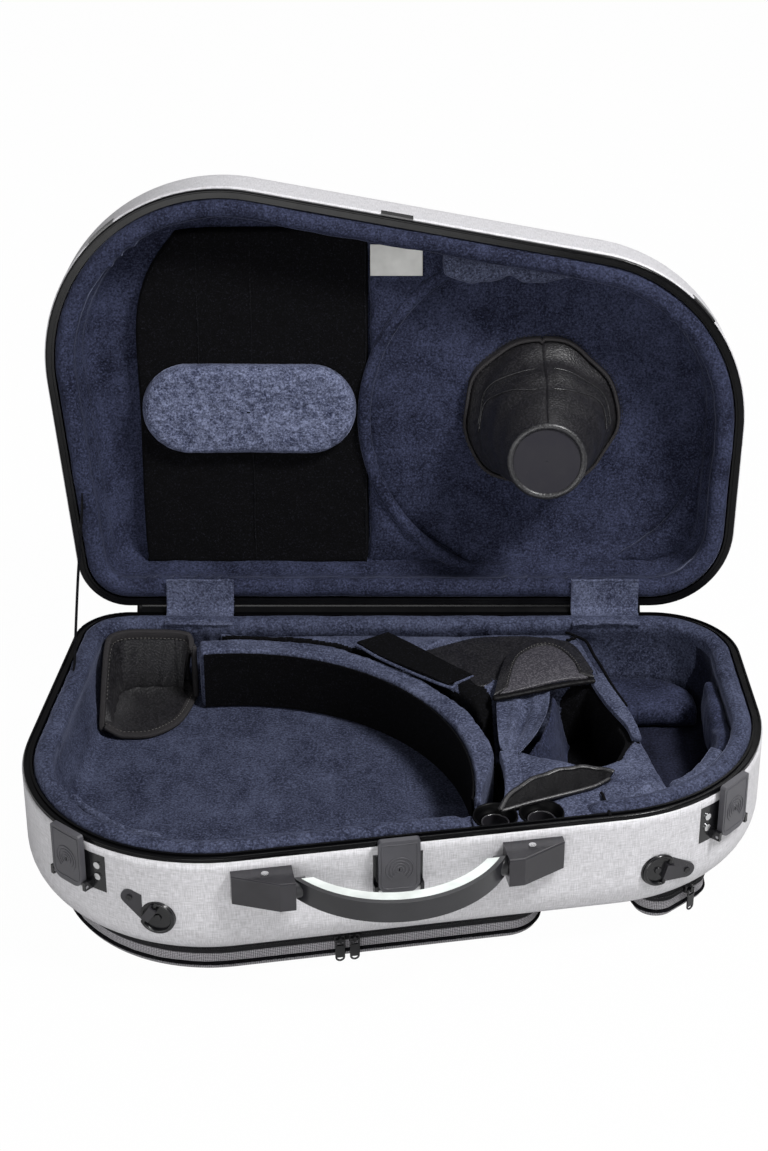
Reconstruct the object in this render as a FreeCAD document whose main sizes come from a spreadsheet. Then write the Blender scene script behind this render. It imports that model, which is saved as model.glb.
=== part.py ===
import FreeCAD, Part
import math
import os

from FreeCAD import Placement, Rotation, Vector

os.makedirs("parts", exist_ok=True)
doc = FreeCAD.newDocument("HornCase")

# Driving sizes in millimetres and degrees, kept in the sheet
driving = {
    # the outline: four corner circles joined by straight runs
    "rearLeftX": 242.5, "rearLeftRadius": 45.8,
    "frontLeftX": 151.9, "frontLeftY": 36.4, "frontLeftRadius": 155.4,
    "frontRightX": 152.1, "frontRightY": 18.8, "frontRightRadius": 155.3,
    "rearRightX": 230.4, "rearRightRadius": 73.3, "backY": 192.0,
    # heights of the two halves
    "pocketDepth": 30.0, "baseDepth": 100.0, "lidDepth": 85.0, "openAngle": 97.0,
    "shellWall": 4.0, "shellInset": 2.0, "bottomRound": 35.0,
    "rimWidth": 7.5, "rimBand": 11.0, "rimTop": 4.0, "rimRound": 1.5,
    "sealWidth": 3.0, "sealProud": 1.2,
    # padding
    "rollWidth": 17.5, "rollRound": 7.0, "rollBelow": 2.5,
    "baseFloor": 66.0, "lidFloor": 50.0, "floorRound": 12.0, "clearance": 0.3,
    # the curved divider
    "dividerX": 140.0, "dividerY": 70.0, "dividerRadius": 204.0, "dividerThick": 20.0,
    "dividerStartAngle": 100.0, "dividerEndAngle": 8.0, "topDrop": 5.0, "loopThick": 1.6, "loopDrop": 8.0,
    "channel": 8.0, "shelfLeft": 176.0,
    # the centre block and its well
    "wellRight": 130.0, "wellBack": 22.0, "wellTopRadius": 62.0, "wellFootRadius": 43.0, "wellFloor": 70.0,
    # leather
    "leatherThick": 2.4, "flapThick": 5.0, "strapThick": 3.0,
    # mouthpiece cups
    "cupOuter": 11.5, "cupInner": 9.8, "cupDepth": 40.0, "cupFloor": 3.0, "cupSink": 4.0,
    "recessAround": 2.0, "cupOneX": 77.7, "cupOneY": 129.8, "cupTwoX": 114.6, "cupTwoY": 125.4,
    # the lid's fittings
    "boardThick": 12.0, "boardLeft": 232.0, "boardRight": 25.0, "boardRear": 165.0, "boardFront": 148.0,
    "ovalX": 132.0, "ovalY": 15.0, "ovalLength": 192.0, "ovalWidth": 83.0, "ovalThick": 15.0,
    "recessX": 129.0, "recessY": 24.0, "recessRadius": 153.0, "ridgeRadius": 5.0,
    "coneX": 130.0, "coneY": 22.0, "coneBrim": 71.0, "coneTop": 32.0, "coneReach": 58.0, "coneWall": 3.0,
    "coneSag": 11.0,
    "lobeThick": 20.0,
    # hinges
    "hingeBack": 3.5, "knuckleRadius": 3.0, "pinRadius": 1.5, "pinFit": 0.05, "hingeLeftX": 178.0,
    "hingeRightX": 189.0, "hingeLength": 60.0, "leafThick": 1.5, "leafHeight": 24.0, "coverThick": 2.4,
    # latches
    "leverWidth": 33.0, "leverRise": 5.0, "leverFoot": 2.5, "leverThick": 5.0, "pivotDrop": 42.0,
    "pivotOut": 6.0, "plateProud": 1.5, "earThick": 3.0, "plateSide": 13.0, "latchLeftAngle": 229.0,
    "latchRightAngle": 318.0, "keeperWidth": 28.0, "keeperHeight": 13.0,
    # handle, measured from where the straight front run begins
    "handleFromCorner": 126.5, "bracketLong": 48.0, "bracketProud": 26.0,
    "bracketTop": 12.0, "bracketHeight": 25.0, "gripHalf": 83.5, "gripReach": 46.0, "gripHeight": 18.0,
    "gripThick": 15.0, "gripSkin": 4.5, "hubRadius": 8.0, "hubOut": 14.0, "hubDrop": 24.5,
    # D-rings
    "ringRadius": 13.0, "ringWire": 1.7, "ringBar": 7.0, "ringPlateBig": 13.5, "ringPlateSmall": 7.0,
    "ringPlateLong": 27.0, "ringPlateThick": 2.5, "ringDrop": 57.0, "ringLeftAngle": 257.0,
    "ringRightAngle": 292.0, "ringLeftTiltAngle": -33.0, "ringRightTiltAngle": 163.0,
    # pockets under the base
    "pocketCorner": 32.0, "pocketInset": 28.0, "largeLeft": 262.0, "largeRight": 118.0, "smallLeft": 196.0,
    "smallRight": 258.0, "smallRear": 110.0, "pocketRear": 120.0, "pipingRadius": 1.8,
    "zipDrop": 6.0, "zipWidth": 9.0, "zipThick": 1.0, "sliderLong": 9.0, "sliderWide": 6.0,
    "sliderThick": 4.0, "pullLong": 20.0, "pullWide": 6.5, "pullWire": 0.8,
    # small parts
    "footRadius": 11.0, "footProud": 7.0, "screwRadius": 3.0, "screwProud": 1.2, "overrun": 5.0,
    "footX": 112.0, "footLevel": 52.0, "ribbonX": 280.6, "pinLong": 6.0, "hubLong": 9.0, "zipOne": 43.0,
    "zipTwo": 31.0,
    "ribbonWidth": 10.0, "ribbonThick": 1.6, "ribbonReach": 108.0, "tagLong": 46.0, "tagHigh": 28.0,
    "tagThick": 0.8, "tagMiddle": 121.0,
    # pads in the corners of the base
    "sidePad": 12.0, "sidePadAngle": 2.0, "frontPad": 16.0, "frontPadAngle": 312.0, "bumperThick": 9.0,
    "bumperAngle": 232.0, "rearPad": 20.0, "ridgeStartAngle": 115.0, "ridgeSweepAngle": 123.0,
    "sidePadHalf": 69.0, "frontPadHalf": 59.3, "bumperHalf": 48.3,
    # shares of the sizes above
    "pocketLongShare": 0.57, "pocketDeepShare": 1.18, "softShare": 0.6, "pipingShare": 0.8,
    "leverSoftShare": 0.15, "anchorShare": 0.8,
    "tightCornerShare": 0.6, "tightInsetShare": 0.8, "pipingRoundShare": 0.9, "footTaperShare": 0.8,
    "upperScrewShare": 0.5, "lowerScrewShare": 0.75, "smallHeadShare": 0.8, "bracketScrewShare": 0.46,
    "bracketScrewOutShare": 0.7, "ringScrewShare": 0.25, "pullTabShare": 0.25, "sliderRoundShare": 0.3,
}
sheet = doc.addObject("Spreadsheet::Sheet", "Sizes")
for row, (word, number) in enumerate(driving.items(), start=1):
    sheet.set("A%d" % row, word)
    sheet.set("B%d" % row, str(number))
    sheet.setAlias("B%d" % row, word)
doc.recompute()


class Named:
    """Reads the sheet's cells by their names."""

    def __getattr__(self, word):
        return float(sheet.get(word))


s = Named()
pieces = {}

# Heights and places that follow from the driving sizes
shellBottom = s.pocketDepth
rimPlane = s.pocketDepth + s.baseDepth
wallInset = s.shellInset + s.shellWall
padInset = s.rimWidth + s.clearance
rollInset = s.rimWidth + s.rollWidth
rimUnder = rimPlane - s.rimTop
baseFloorZ = rimPlane - s.baseFloor
topZ = rimPlane - s.topDrop
cupTop = topZ - s.cupSink
lidTop = rimPlane + s.lidDepth
lidFloorZ = rimPlane + s.lidFloor
hingeY = s.backY + s.hingeBack
hingeCentre = Vector(0, hingeY, rimPlane)
lidOpen = Placement(Vector(), Rotation(Vector(1, 0, 0), -s.openAngle), hingeCentre)
corners = [
    (Vector(-s.frontLeftX, -s.frontLeftY, 0), s.frontLeftRadius),
    (Vector(s.frontRightX, s.frontRightY, 0), s.frontRightRadius),
    (Vector(s.rearRightX, s.backY - s.rearRightRadius, 0), s.rearRightRadius),
    (Vector(-s.rearLeftX, s.backY - s.rearLeftRadius, 0), s.rearLeftRadius),
]


def keep(obj, label, place=None):
    """Gives a sub-part its label and its place, and puts it on the list."""
    obj.Label = label
    if place is not None:
        obj.Placement = place
    pieces[label] = obj
    return obj


def feature(label, shape, place=None):
    """A sub-part whose shape is worked out here from the sheet's sizes."""
    obj = doc.addObject("Part::Feature", label)
    obj.Shape = shape
    return keep(obj, label, obj.Placement if place is None else place)


def normalAt(degrees):
    """The unit vector at an angle from +X, seen from above."""
    return Vector(math.cos(math.radians(degrees)), math.sin(math.radians(degrees)), 0)


def tangentAngles(circles):
    """The angle of the outward normal of each straight run of the hull."""
    angles = []
    for (start, big), (end, small) in zip(circles, circles[1:] + circles[:1]):
        along = end - start
        heading = math.degrees(math.atan2(along.y, along.x))
        angles.append(heading - math.degrees(math.acos((big - small) / along.Length)))
    return angles


def hullWire(circles, inset, height):
    """The rounded outline of a ring of circles, set in and raised."""
    angles = tangentAngles(circles)
    lift = Vector(0, 0, height)
    edges = []
    for number, (centre, radius) in enumerate(circles):
        first = angles[number - 1]
        last = angles[number]
        while last <= first:
            last += 360
        reach = radius - inset
        begin = centre + normalAt(first) * reach + lift
        middle = centre + normalAt((first + last) / 2) * reach + lift
        end = centre + normalAt(last) * reach + lift
        edges.append(Part.Arc(begin, middle, end).toShape())
        following = circles[(number + 1) % len(circles)]
        target = following[0] + normalAt(last) * (following[1] - inset) + lift
        edges.append(Part.makeLine(end, target))
    return Part.Wire(edges)


def hullSlab(circles, inset, low, high):
    """A slab of a rounded outline between two heights."""
    return Part.Face(hullWire(circles, inset, low)).extrude(Vector(0, 0, high - low))


def slab(inset, low, high):
    """A slab of the case's outline between two heights."""
    return hullSlab(corners, inset, low, high)


def edgesAt(shape, height):
    """The edges of a shape that lie level at a height."""
    found = []
    for edge in shape.Edges:
        box = edge.BoundBox
        if abs(box.ZMin - height) < s.clearance and abs(box.ZMax - height) < s.clearance:
            found.append(edge)
    return found


def rounded(shape, height, radius):
    """The shape with the edges at one height rounded."""
    return shape.makeFillet(radius, edgesAt(shape, height))


def outlinePoint(degrees, inset=0.0):
    """The point of the outline whose outward normal has this angle."""
    normal = normalAt(degrees)
    reach = [centre.dot(normal) + radius for centre, radius in corners]
    centre, radius = corners[reach.index(max(reach))]
    return centre + normal * (radius - inset)


def wallPlace(degrees, drop=0.0, along=0.0):
    """A place on the wall: local X to the right, Y inwards and Z up, at the rim plane less a drop."""
    turn = Rotation(Vector(0, 0, 1), degrees + 90)
    point = outlinePoint(degrees) + turn.multVec(Vector(along, 0, 0)) + Vector(0, 0, rimPlane - drop)
    return Placement(point, turn)


frontAngle = tangentAngles(corners)[0]
frontStart = corners[0][0] + normalAt(frontAngle) * corners[0][1]
frontTurn = Rotation(Vector(0, 0, 1), frontAngle + 90)
frontPlace = Placement(
    frontStart + frontTurn.multVec(Vector(s.handleFromCorner, 0, 0)) + Vector(0, 0, rimPlane), frontTurn
)
latchPlaces = {
    "left": wallPlace(s.latchLeftAngle), "centre": frontPlace, "right": wallPlace(s.latchRightAngle)
}


def block(x0, x1, y0, y1, z0, z1):
    """A box between two corners."""
    return Part.makeBox(x1 - x0, y1 - y0, z1 - z0, Vector(x0, y0, z0))


def placed(shape, place):
    """A copy of a shape moved from its own frame to a place."""
    copy = shape.copy()
    copy.Placement = place.multiply(copy.Placement)
    return copy


def prism(points, low, high):
    """A prism of a polygon between two heights."""
    corner = [Vector(x, y, low) for x, y in points]
    return Part.Face(Part.makePolygon(corner + corner[:1])).extrude(Vector(0, 0, high - low))


def wallPatch(outset, depth, low, high, x0, x1, place):
    """A patch that follows the wall, from an inset depth out to an outset, between two heights."""
    skin = slab(-outset, low, high).cut(slab(depth, low, high))
    reach = s.bottomRound
    window = placed(block(x0, x1, -reach, reach, -s.baseDepth, s.lidDepth), place)
    return skin.common(window)


def sketchOn(body, name, role):
    """An empty sketch on one of a body's own origin planes."""
    plane = [part for part in body.Origin.OriginFeatures if part.Role == role][0]
    sketch = body.newObject("Sketcher::SketchObject", name)
    sketch.AttachmentSupport = (plane, [""])
    sketch.MapMode = "FlatFace"
    return sketch


def drawWire(sketch, wire):
    """Copies a flat wire's lines and arcs into a sketch."""
    for edge in wire.OrderedEdges:
        ends = [vertex.Point for vertex in edge.Vertexes]
        if edge.Curve.TypeId == "Part::GeomLine":
            sketch.addGeometry(Part.LineSegment(ends[0], ends[-1]), False)
        else:
            middle = edge.valueAt((edge.FirstParameter + edge.LastParameter) / 2)
            sketch.addGeometry(Part.Arc(ends[0], middle, ends[-1]), False)


def primitive(kind, label, place, **sizes):
    """A Part primitive whose sizes are expressions of the sheet's cells."""
    obj = doc.addObject("Part::" + kind, label)
    for size, rule in sizes.items():
        obj.setExpression(size, rule)
    obj.Placement = place
    return obj


def grouped(label, members, place=None):
    """One sub-part made of several separate solids."""
    group = doc.addObject("Part::Compound", label)
    group.Links = members
    doc.recompute()
    return keep(group, label, place)


# The shells and their rims


def makeShell(label, low, high, closedEnd, place=None):
    """A moulded tray: the outline padded, its far edge rounded, and hollowed to the wall."""
    outer = rounded(slab(s.shellInset, low, high), closedEnd, s.bottomRound)
    inward = s.shellWall if closedEnd == low else -s.shellWall
    far = closedEnd + inward
    near = high + s.overrun if closedEnd == low else low - s.overrun
    inner = slab(wallInset, min(far, near), max(far, near))
    inner = rounded(inner, far, s.bottomRound - s.shellWall)
    return feature(label, outer.cut(inner), place)


def makeRims():
    """Edge bands: a flange on the shell's edge and a skirt down its outside, rounded at the corner."""
    top = rounded(slab(0, rimUnder, rimPlane), rimPlane, s.rimRound)
    skirt = slab(0, rimPlane - s.rimBand, rimUnder)
    base = top.fuse(skirt).cut(slab(s.rimWidth, rimPlane - s.rimBand, rimPlane))
    base = base.cut(slab(s.shellInset, rimPlane - s.rimBand, rimUnder))
    grooveOut = (s.rimWidth - s.sealWidth) / 2 - s.clearance
    grooveIn = grooveOut + s.sealWidth + 2 * s.clearance
    grooveLow = rimPlane - s.sealProud - s.clearance
    groove = slab(grooveOut, grooveLow, rimPlane).cut(slab(grooveIn, grooveLow, rimPlane))
    feature("base_rim", base.cut(groove).removeSplitter())
    edge = rimPlane + s.rimTop
    low = rounded(slab(0, rimPlane, edge), rimPlane, s.rimRound)
    lid = low.fuse(slab(0, edge, rimPlane + s.rimBand))
    lid = lid.cut(slab(s.rimWidth, rimPlane, rimPlane + s.rimBand))
    lid = lid.cut(slab(s.shellInset, edge, rimPlane + s.rimBand))
    sealOut = grooveOut + s.clearance
    proud = rimPlane - s.sealProud
    seal = slab(sealOut, proud, rimPlane).cut(slab(sealOut + s.sealWidth, proud, rimPlane))
    feature("lid_rim", lid.fuse(seal).removeSplitter(), lidOpen)


def softRoll(low, high, roundedEnd):
    """The padded roll inside a rim, with its inner edge rounded at one end."""
    ring = slab(padInset, low, high).cut(slab(rollInset, low, high))
    probe = Part.Face(hullWire(corners, (padInset + rollInset) / 2, roundedEnd))
    level = edgesAt(ring, roundedEnd)
    inner = [edge for edge in level if probe.isInside(edge.CenterOfMass, s.clearance, True)]
    return ring.makeFillet(s.rollRound, inner)


def paddedTray(far, near, floor, roll):
    """A padded tray from the shell's floor to under the rim, with a roll standing inside the rim."""
    low, high = min(far, near), max(far, near)
    outer = rounded(slab(wallInset, low, high), far, s.bottomRound - s.shellWall)
    mouth = near + (s.overrun if near > far else -s.overrun)
    hollow = rounded(slab(rollInset, min(floor, mouth), max(floor, mouth)), floor, s.floorRound)
    seam = roll - 2 * s.rollRound if near > far else roll + 2 * s.rollRound
    room = slab(padInset, min(seam, near), max(seam, near))
    return outer.cut(hollow).cut(room).fuse(softRoll(min(seam, roll), max(seam, roll), roll))


def makeLinings():
    """Padded plush trays: a roll inside each rim and a thick floor, with soft corners."""
    roll = rimPlane - s.rollBelow
    lining = paddedTray(shellBottom + s.shellWall, rimUnder, baseFloorZ, roll)
    feature("base_lining", lining.cut(wellSolid().fuse(cupBores())))
    roll = rimPlane + s.rollBelow
    feature("lid_lining", paddedTray(lidTop - s.shellWall, rimPlane + s.rimTop, lidFloorZ, roll), lidOpen)


# Inside the base


def arcRing(inner, outer, low, high, first, last):
    """A ring's sector about the divider's centre."""
    centre = Vector(-s.dividerX, -s.dividerY, low)
    tall = high - low
    ring = Part.makeCylinder(outer, tall, centre, Vector(0, 0, 1), last - first)
    ring = ring.cut(Part.makeCylinder(inner, tall, centre, Vector(0, 0, 1), last - first))
    ring.rotate(centre, Vector(0, 0, 1), first)
    return ring


def insideRoom():
    """The room that the base's lining leaves, up to above the rim."""
    room = slab(rollInset + s.clearance, baseFloorZ, rimPlane + s.overrun)
    return rounded(room, baseFloorZ, s.floorRound)


def makeDivider():
    """A foam wall on an arc round the left compartment, with a loop panel on its inner face."""
    first = -s.dividerEndAngle
    wall = arcRing(
        s.dividerRadius, s.dividerRadius + s.dividerThick, baseFloorZ, topZ, first, s.dividerStartAngle
    )
    wall = wall.common(insideRoom())
    top = [edge for edge in edgesAt(wall, topZ) if edge.Curve.TypeId == "Part::GeomCircle"]
    feature("curved_divider", wall.makeFillet(s.rollRound / 2, top))
    inner = s.dividerRadius - s.loopThick - s.clearance
    panel = arcRing(
        inner, s.dividerRadius - s.clearance, baseFloorZ + s.floorRound, rimPlane - s.loopDrop, first,
        s.dividerStartAngle,
    )
    feature("divider_loop_panel", panel.common(insideRoom()))


def wellSolid():
    """The funnel that clears the lid's cone, with the three-cornered pocket beyond it."""
    foot = rimPlane - s.wellFloor
    tall = rimPlane - foot
    funnel = Part.makeCone(
        s.wellFootRadius, s.wellTopRadius, tall, Vector(s.wellRight, s.wellBack, foot), Vector(0, 0, 1)
    )
    cornerShares = [
        (0.01, 0.6), (0.65, 0.83), (0.74, 0.25), (0.98, -0.32), (1.03, -0.57), (0.84, -1.05), (0.46, -1.29),
        (0.17, -1.11), (-0.34, -0.93),
    ]
    corner = [
        (s.wellRight + x * s.wellTopRadius, s.wellBack + y * s.wellTopRadius) for x, y in cornerShares
    ]
    return funnel.fuse(prism(corner, baseFloorZ, rimPlane))


def cupPlaces():
    """The middles of the two mouthpiece cups."""
    return [(s.cupOneX, -s.cupOneY), (s.cupTwoX, -s.cupTwoY)]


def cupBores():
    """The holes that take the cups, each with a wider recess round the cup's lip."""
    low = cupTop - s.cupDepth - s.clearance
    bores = []
    for x, y in cupPlaces():
        bore = Part.makeCylinder(s.cupOuter + s.clearance, rimPlane - low, Vector(x, y, low))
        seat = Vector(x, y, cupTop - s.cupSink)
        bores.append(bore.fuse(Part.makeCylinder(s.cupOuter + s.recessAround, s.baseDepth, seat)))
    return bores[0].fuse(bores[1])


blockEdgeShares = [(0.39, 1.0), (0.81, 0.56), (1.0, 0.28), (1.52, -0.5), (1.74, -1.0)]


def blockOutline():
    """The centre block's plan: beside the divider, with a slanting right side."""
    edge = [(s.wellRight + across * s.wellTopRadius, up * s.backY) for across, up in blockEdgeShares]
    return edge + [(0, -s.backY), (-s.dividerX / 2, 0), (-s.shelfLeft, s.backY)]


def makeCentreBlock():
    """The foam block between the divider and the right compartment, with its wells cut out."""
    body = prism(blockOutline(), baseFloorZ, topZ).common(insideRoom())
    away = Part.makeCylinder(
        s.dividerRadius + s.dividerThick + s.channel, s.baseDepth,
        Vector(-s.dividerX, -s.dividerY, baseFloorZ - s.overrun),
    )
    body = body.cut(away).cut(wellSolid()).cut(cupBores())
    solids = sorted(body.Solids, key=lambda solid: solid.Volume)
    feature("centre_block", solids[-1])


def makeCups():
    """Two lipped cups that hold mouthpieces."""
    cups = []
    for x, y in cupPlaces():
        low = cupTop - s.cupDepth
        cup = Part.makeCylinder(s.cupOuter, s.cupDepth, Vector(x, y, low))
        lip = Part.makeTorus(
            (s.cupOuter + s.cupInner) / 2, (s.cupOuter - s.cupInner) / 2, Vector(x, y, cupTop)
        )
        bore = Part.makeCylinder(s.cupInner, s.cupDepth + s.overrun, Vector(x, y, low + s.cupFloor))
        cups.append(cup.fuse(lip).cut(bore))
    feature("mouthpiece_cups", Part.makeCompound(cups))


def makeCornerPocket():
    """A leather corner: a back wall, two side walls and a leaf on the floor."""
    left = -s.rearLeftX - s.rearLeftRadius + rollInset + s.clearance
    right = left + s.dividerX * s.pocketLongShare
    rear = s.backY - rollInset - s.clearance
    front = rear - s.dividerY * s.pocketDeepShare
    low = baseFloorZ + s.clearance
    high = topZ - s.loopDrop / 2
    thick = s.leatherThick
    reach = s.floorRound
    back = block(left + reach, right, rear - thick, rear, low + reach, high)
    side = prism(
        [(left + reach, rear), (left + thick + reach, rear), (left + thick, rear - 4 * reach),
         (left + thick, front), (left, front), (left, rear - 4 * reach)], low + reach, high,
    )
    stub = block(right - thick, right, rear - 2 * reach, rear, low + reach, high)
    leaf = prism(
        [(left + thick, rear), (right, rear), (right, rear - 2 * reach), (right - 3 * reach, front - reach),
         (right - 5 * reach, front - reach), (left + thick, front)], low + reach, low + reach + thick,
    )
    whole = back.fuse(side).fuse(stub).fuse(leaf).removeSplitter()
    feature("corner_pocket", whole.common(insideRoom()))


strapShares = [(0.51, 1.025), (0.65, 1.13), (1.01, 0.765), (0.88, 0.67)]
saddleShares = [
    (-0.02, 1.05), (-0.66, 1.73), (-0.16, 1.9), (0.16, 1.97), (0.66, 2.02), (1.05, 2.03), (1.38, 1.87),
    (1.55, 1.5), (1.65, 0.9), (0.4, 0.3), (0.1, 0.62),
]
moonShares = [
    (-0.72, 0.35), (-0.69, 0.85), (-0.54, 1.35), (-0.35, 1.62), (-0.06, 1.86), (0.15, 1.84), (0.35, 1.62),
    (0.53, 1.21), (0.64, 0.81),
]
leafShares = [((-0.6, -2.13), (-0.15, -1.6), (0.68, -1.5)), ((0.68, -1.5), (0.1, -1.89), (-0.6, -2.13))]


def makeTopLeather():
    """The strap over the divider, the saddle on the block, its half-moon flap and the leaf flap."""
    seat = topZ + s.clearance
    strap = [
        (x * s.dividerRadius - s.dividerX, y * s.dividerRadius - s.dividerY) for x, y in strapShares
    ]
    feature("hold_down_strap", prism(strap, seat, seat + s.strapThick).common(insideRoom()))
    unit = s.wellTopRadius
    saddle = prism(
        [(s.wellRight - unit + unit * across, s.wellBack + unit * up) for across, up in saddleShares],
        seat, seat + s.leatherThick,
    )
    beside = prism(strap, seat, seat + s.strapThick)
    beside = beside.fuse(placed(beside, Placement(Vector(s.clearance, s.clearance, 0), Rotation())))
    saddle = saddle.cut(wellSolid()).cut(beside).common(insideRoom())
    feature("leather_saddle", max(saddle.Solids, key=lambda solid: solid.Volume))
    low = seat + s.leatherThick + s.clearance
    bend = Part.BSplineCurve()
    bend.interpolate([Vector(s.wellRight + unit * x, s.wellBack + unit * y, low) for x, y in moonShares])
    straight = Part.makeLine(bend.EndPoint, bend.StartPoint)
    moon = Part.Face(Part.Wire([bend.toShape(), straight])).extrude(Vector(0, 0, s.flapThick))
    feature("saddle_flap", moon)
    arcs = []
    for points in leafShares:
        corner = [Vector(s.wellRight + unit * x, s.wellBack + unit * y, seat) for x, y in points]
        arcs.append(Part.Arc(*corner).toShape())
    leaf = Part.Face(Part.Wire(arcs)).extrude(Vector(0, 0, s.leatherThick))
    feature("leaf_flap", leaf)


def innerPatch(start, thick, low, high, x0, x1, place):
    """A pad that follows the lining's wall from one inset inwards."""
    skin = slab(start, low, high).cut(slab(start + thick, low, high))
    reach = 2 * s.bottomRound
    window = placed(block(x0, x1, -reach, reach, -s.baseDepth - s.pocketDepth, s.lidDepth), place)
    return skin.common(window)


def makeSidePads():
    """Pads in the right compartment and at the front corners."""
    start = rollInset + s.clearance
    low = baseFloorZ + s.floorRound
    high = topZ - s.flapThick
    side = innerPatch(start, s.sidePad, low, high, -s.sidePadHalf, s.sidePadHalf, wallPlace(s.sidePadAngle))
    half = s.frontPadHalf
    place = wallPlace(s.frontPadAngle)
    front = rounded(innerPatch(start, s.frontPad, low, topZ, -half, half, place), topZ, s.rollRound / 2)
    prismOut = prism(blockOutline(), baseFloorZ, rimPlane)
    feature("front_right_roll", max(front.cut(prismOut).Solids, key=lambda solid: solid.Volume))
    grown = innerPatch(start, s.frontPad, low, topZ, -half, half + s.clearance, place)
    feature("right_side_roll", side.cut(grown))
    low = rimPlane - s.bottomRound
    half = s.bumperHalf
    bumper = innerPatch(start, s.bumperThick, low, topZ, -half, half, wallPlace(s.bumperAngle))
    feature("front_left_bumper", rounded(bumper, topZ, s.rollRound / 3))
    rear = block(
        s.wellRight, s.frontRightX * 2, s.backY / 2, s.backY, baseFloorZ + s.clearance, baseFloorZ + s.rearPad
    )
    rear = rear.common(slab(start + s.floorRound, baseFloorZ, rimPlane)).cut(prismOut)
    feature("compartment_rear_pad", max(rear.Solids, key=lambda solid: solid.Volume))


# Inside the lid


def inLid():
    """The room inside the lid's lining, from its floor out past the rim."""
    room = slab(rollInset + s.clearance, rimPlane - s.baseDepth, lidFloorZ)
    return rounded(room, lidFloorZ, s.floorRound)


lobeShares = [
    (-0.58, -1.3), (-0.58, -0.87), (-0.41, -0.8), (-0.24, -0.86), (0.33, -0.84), (0.5, -0.87), (0.57, -1.3),
]


def makeLidPads():
    """The loop board, the oval pad, the bell recess with its ridge, the lobe, and a blank tag."""
    face = lidFloorZ - s.boardThick
    edge = -s.boardRight - s.clearance
    board = block(-s.boardLeft, edge, -s.boardFront, s.boardRear, face, lidFloorZ)
    feature("lid_loop_board", board.common(inLid()), lidOpen)
    centre = Vector(s.recessX, s.recessY, face)
    bell = Part.makeCylinder(s.recessRadius, s.boardThick, centre)
    around = block(-s.boardRight, s.frontRightX * 2.5, -s.backY, s.backY, face, lidFloorZ)
    around = around.common(inLid()).cut(bell)
    kept = [solid for solid in around.Solids if solid.Volume > s.boardThick ** 3]
    feature("recess_surround", Part.makeCompound(kept), lidOpen)
    ridgeTurn = Placement(centre, Rotation(Vector(0, 0, 1), s.ridgeStartAngle))
    ridge = Part.makeTorus(
        s.recessRadius + s.ridgeRadius, s.ridgeRadius, Vector(), Vector(0, 0, 1), 0, 360, s.ridgeSweepAngle
    )
    under = block(-s.boardLeft, s.backY * 2, -s.backY, s.backY, face, lidFloorZ)
    ridge = placed(ridge, ridgeTurn).cut(under).common(inLid())
    oval = [
        (Vector(-s.ovalX - (s.ovalLength - s.ovalWidth) / 2, s.ovalY, 0), s.ovalWidth / 2),
        (Vector(-s.ovalX + (s.ovalLength - s.ovalWidth) / 2, s.ovalY, 0), s.ovalWidth / 2),
    ]
    pad = rounded(hullSlab(oval, 0, face - s.ovalThick, face), face - s.ovalThick, s.ovalThick / 2)
    feature("lid_oval_pad", pad, lidOpen)
    lobe = prism(
        [(s.recessX + x * s.recessRadius, s.recessY + y * s.recessRadius) for x, y in lobeShares],
        face - s.lobeThick, face,
    )
    lobe = rounded(lobe, face - s.lobeThick, s.rollRound * s.pipingShare).common(inLid())
    feature("lid_front_lobe", lobe, lidOpen)
    feature("recess_ridge", ridge.cut(lobe), lidOpen)
    tag = block(
        -s.tagLong / 2, s.tagLong / 2, -s.tagMiddle - s.tagHigh / 2, -s.tagMiddle + s.tagHigh / 2,
        face - s.tagThick, face,
    )
    feature("blank_tag", tag, lidOpen)


def makeCone():
    """The leather cone that goes into the bell: a hollow frustum with a closed, piped end."""
    top = rimPlane - s.coneReach
    brim = Vector(s.coneX, s.coneY, lidFloorZ)
    centre = Vector(s.coneX, s.coneY + s.coneSag, top)
    upwards = Vector(0, 0, 1)

    def frustum(far, farRadius, near, nearRadius):
        """A leaning frustum between two level circles."""
        rings = [
            Part.Wire(Part.makeCircle(radius, place, upwards))
            for place, radius in ((far, farRadius), (near, nearRadius))
        ]
        return Part.makeLoft(rings, True, True)

    outer = frustum(centre, s.coneTop, brim, s.coneBrim)
    within = frustum(
        centre + Vector(0, 0, s.coneWall), s.coneTop - s.coneWall, brim + Vector(0, 0, s.overrun),
        s.coneBrim - s.coneWall,
    )
    piping = Part.makeTorus(s.coneTop - s.coneWall / 2, s.coneWall * s.pipingShare, centre)
    piping.rotate(centre, upwards, frontAngle)  # so its seam is not on the frustum's
    feature("bell_cone", outer.fuse(piping).cut(within), lidOpen)


# Hinges between the halves


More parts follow.
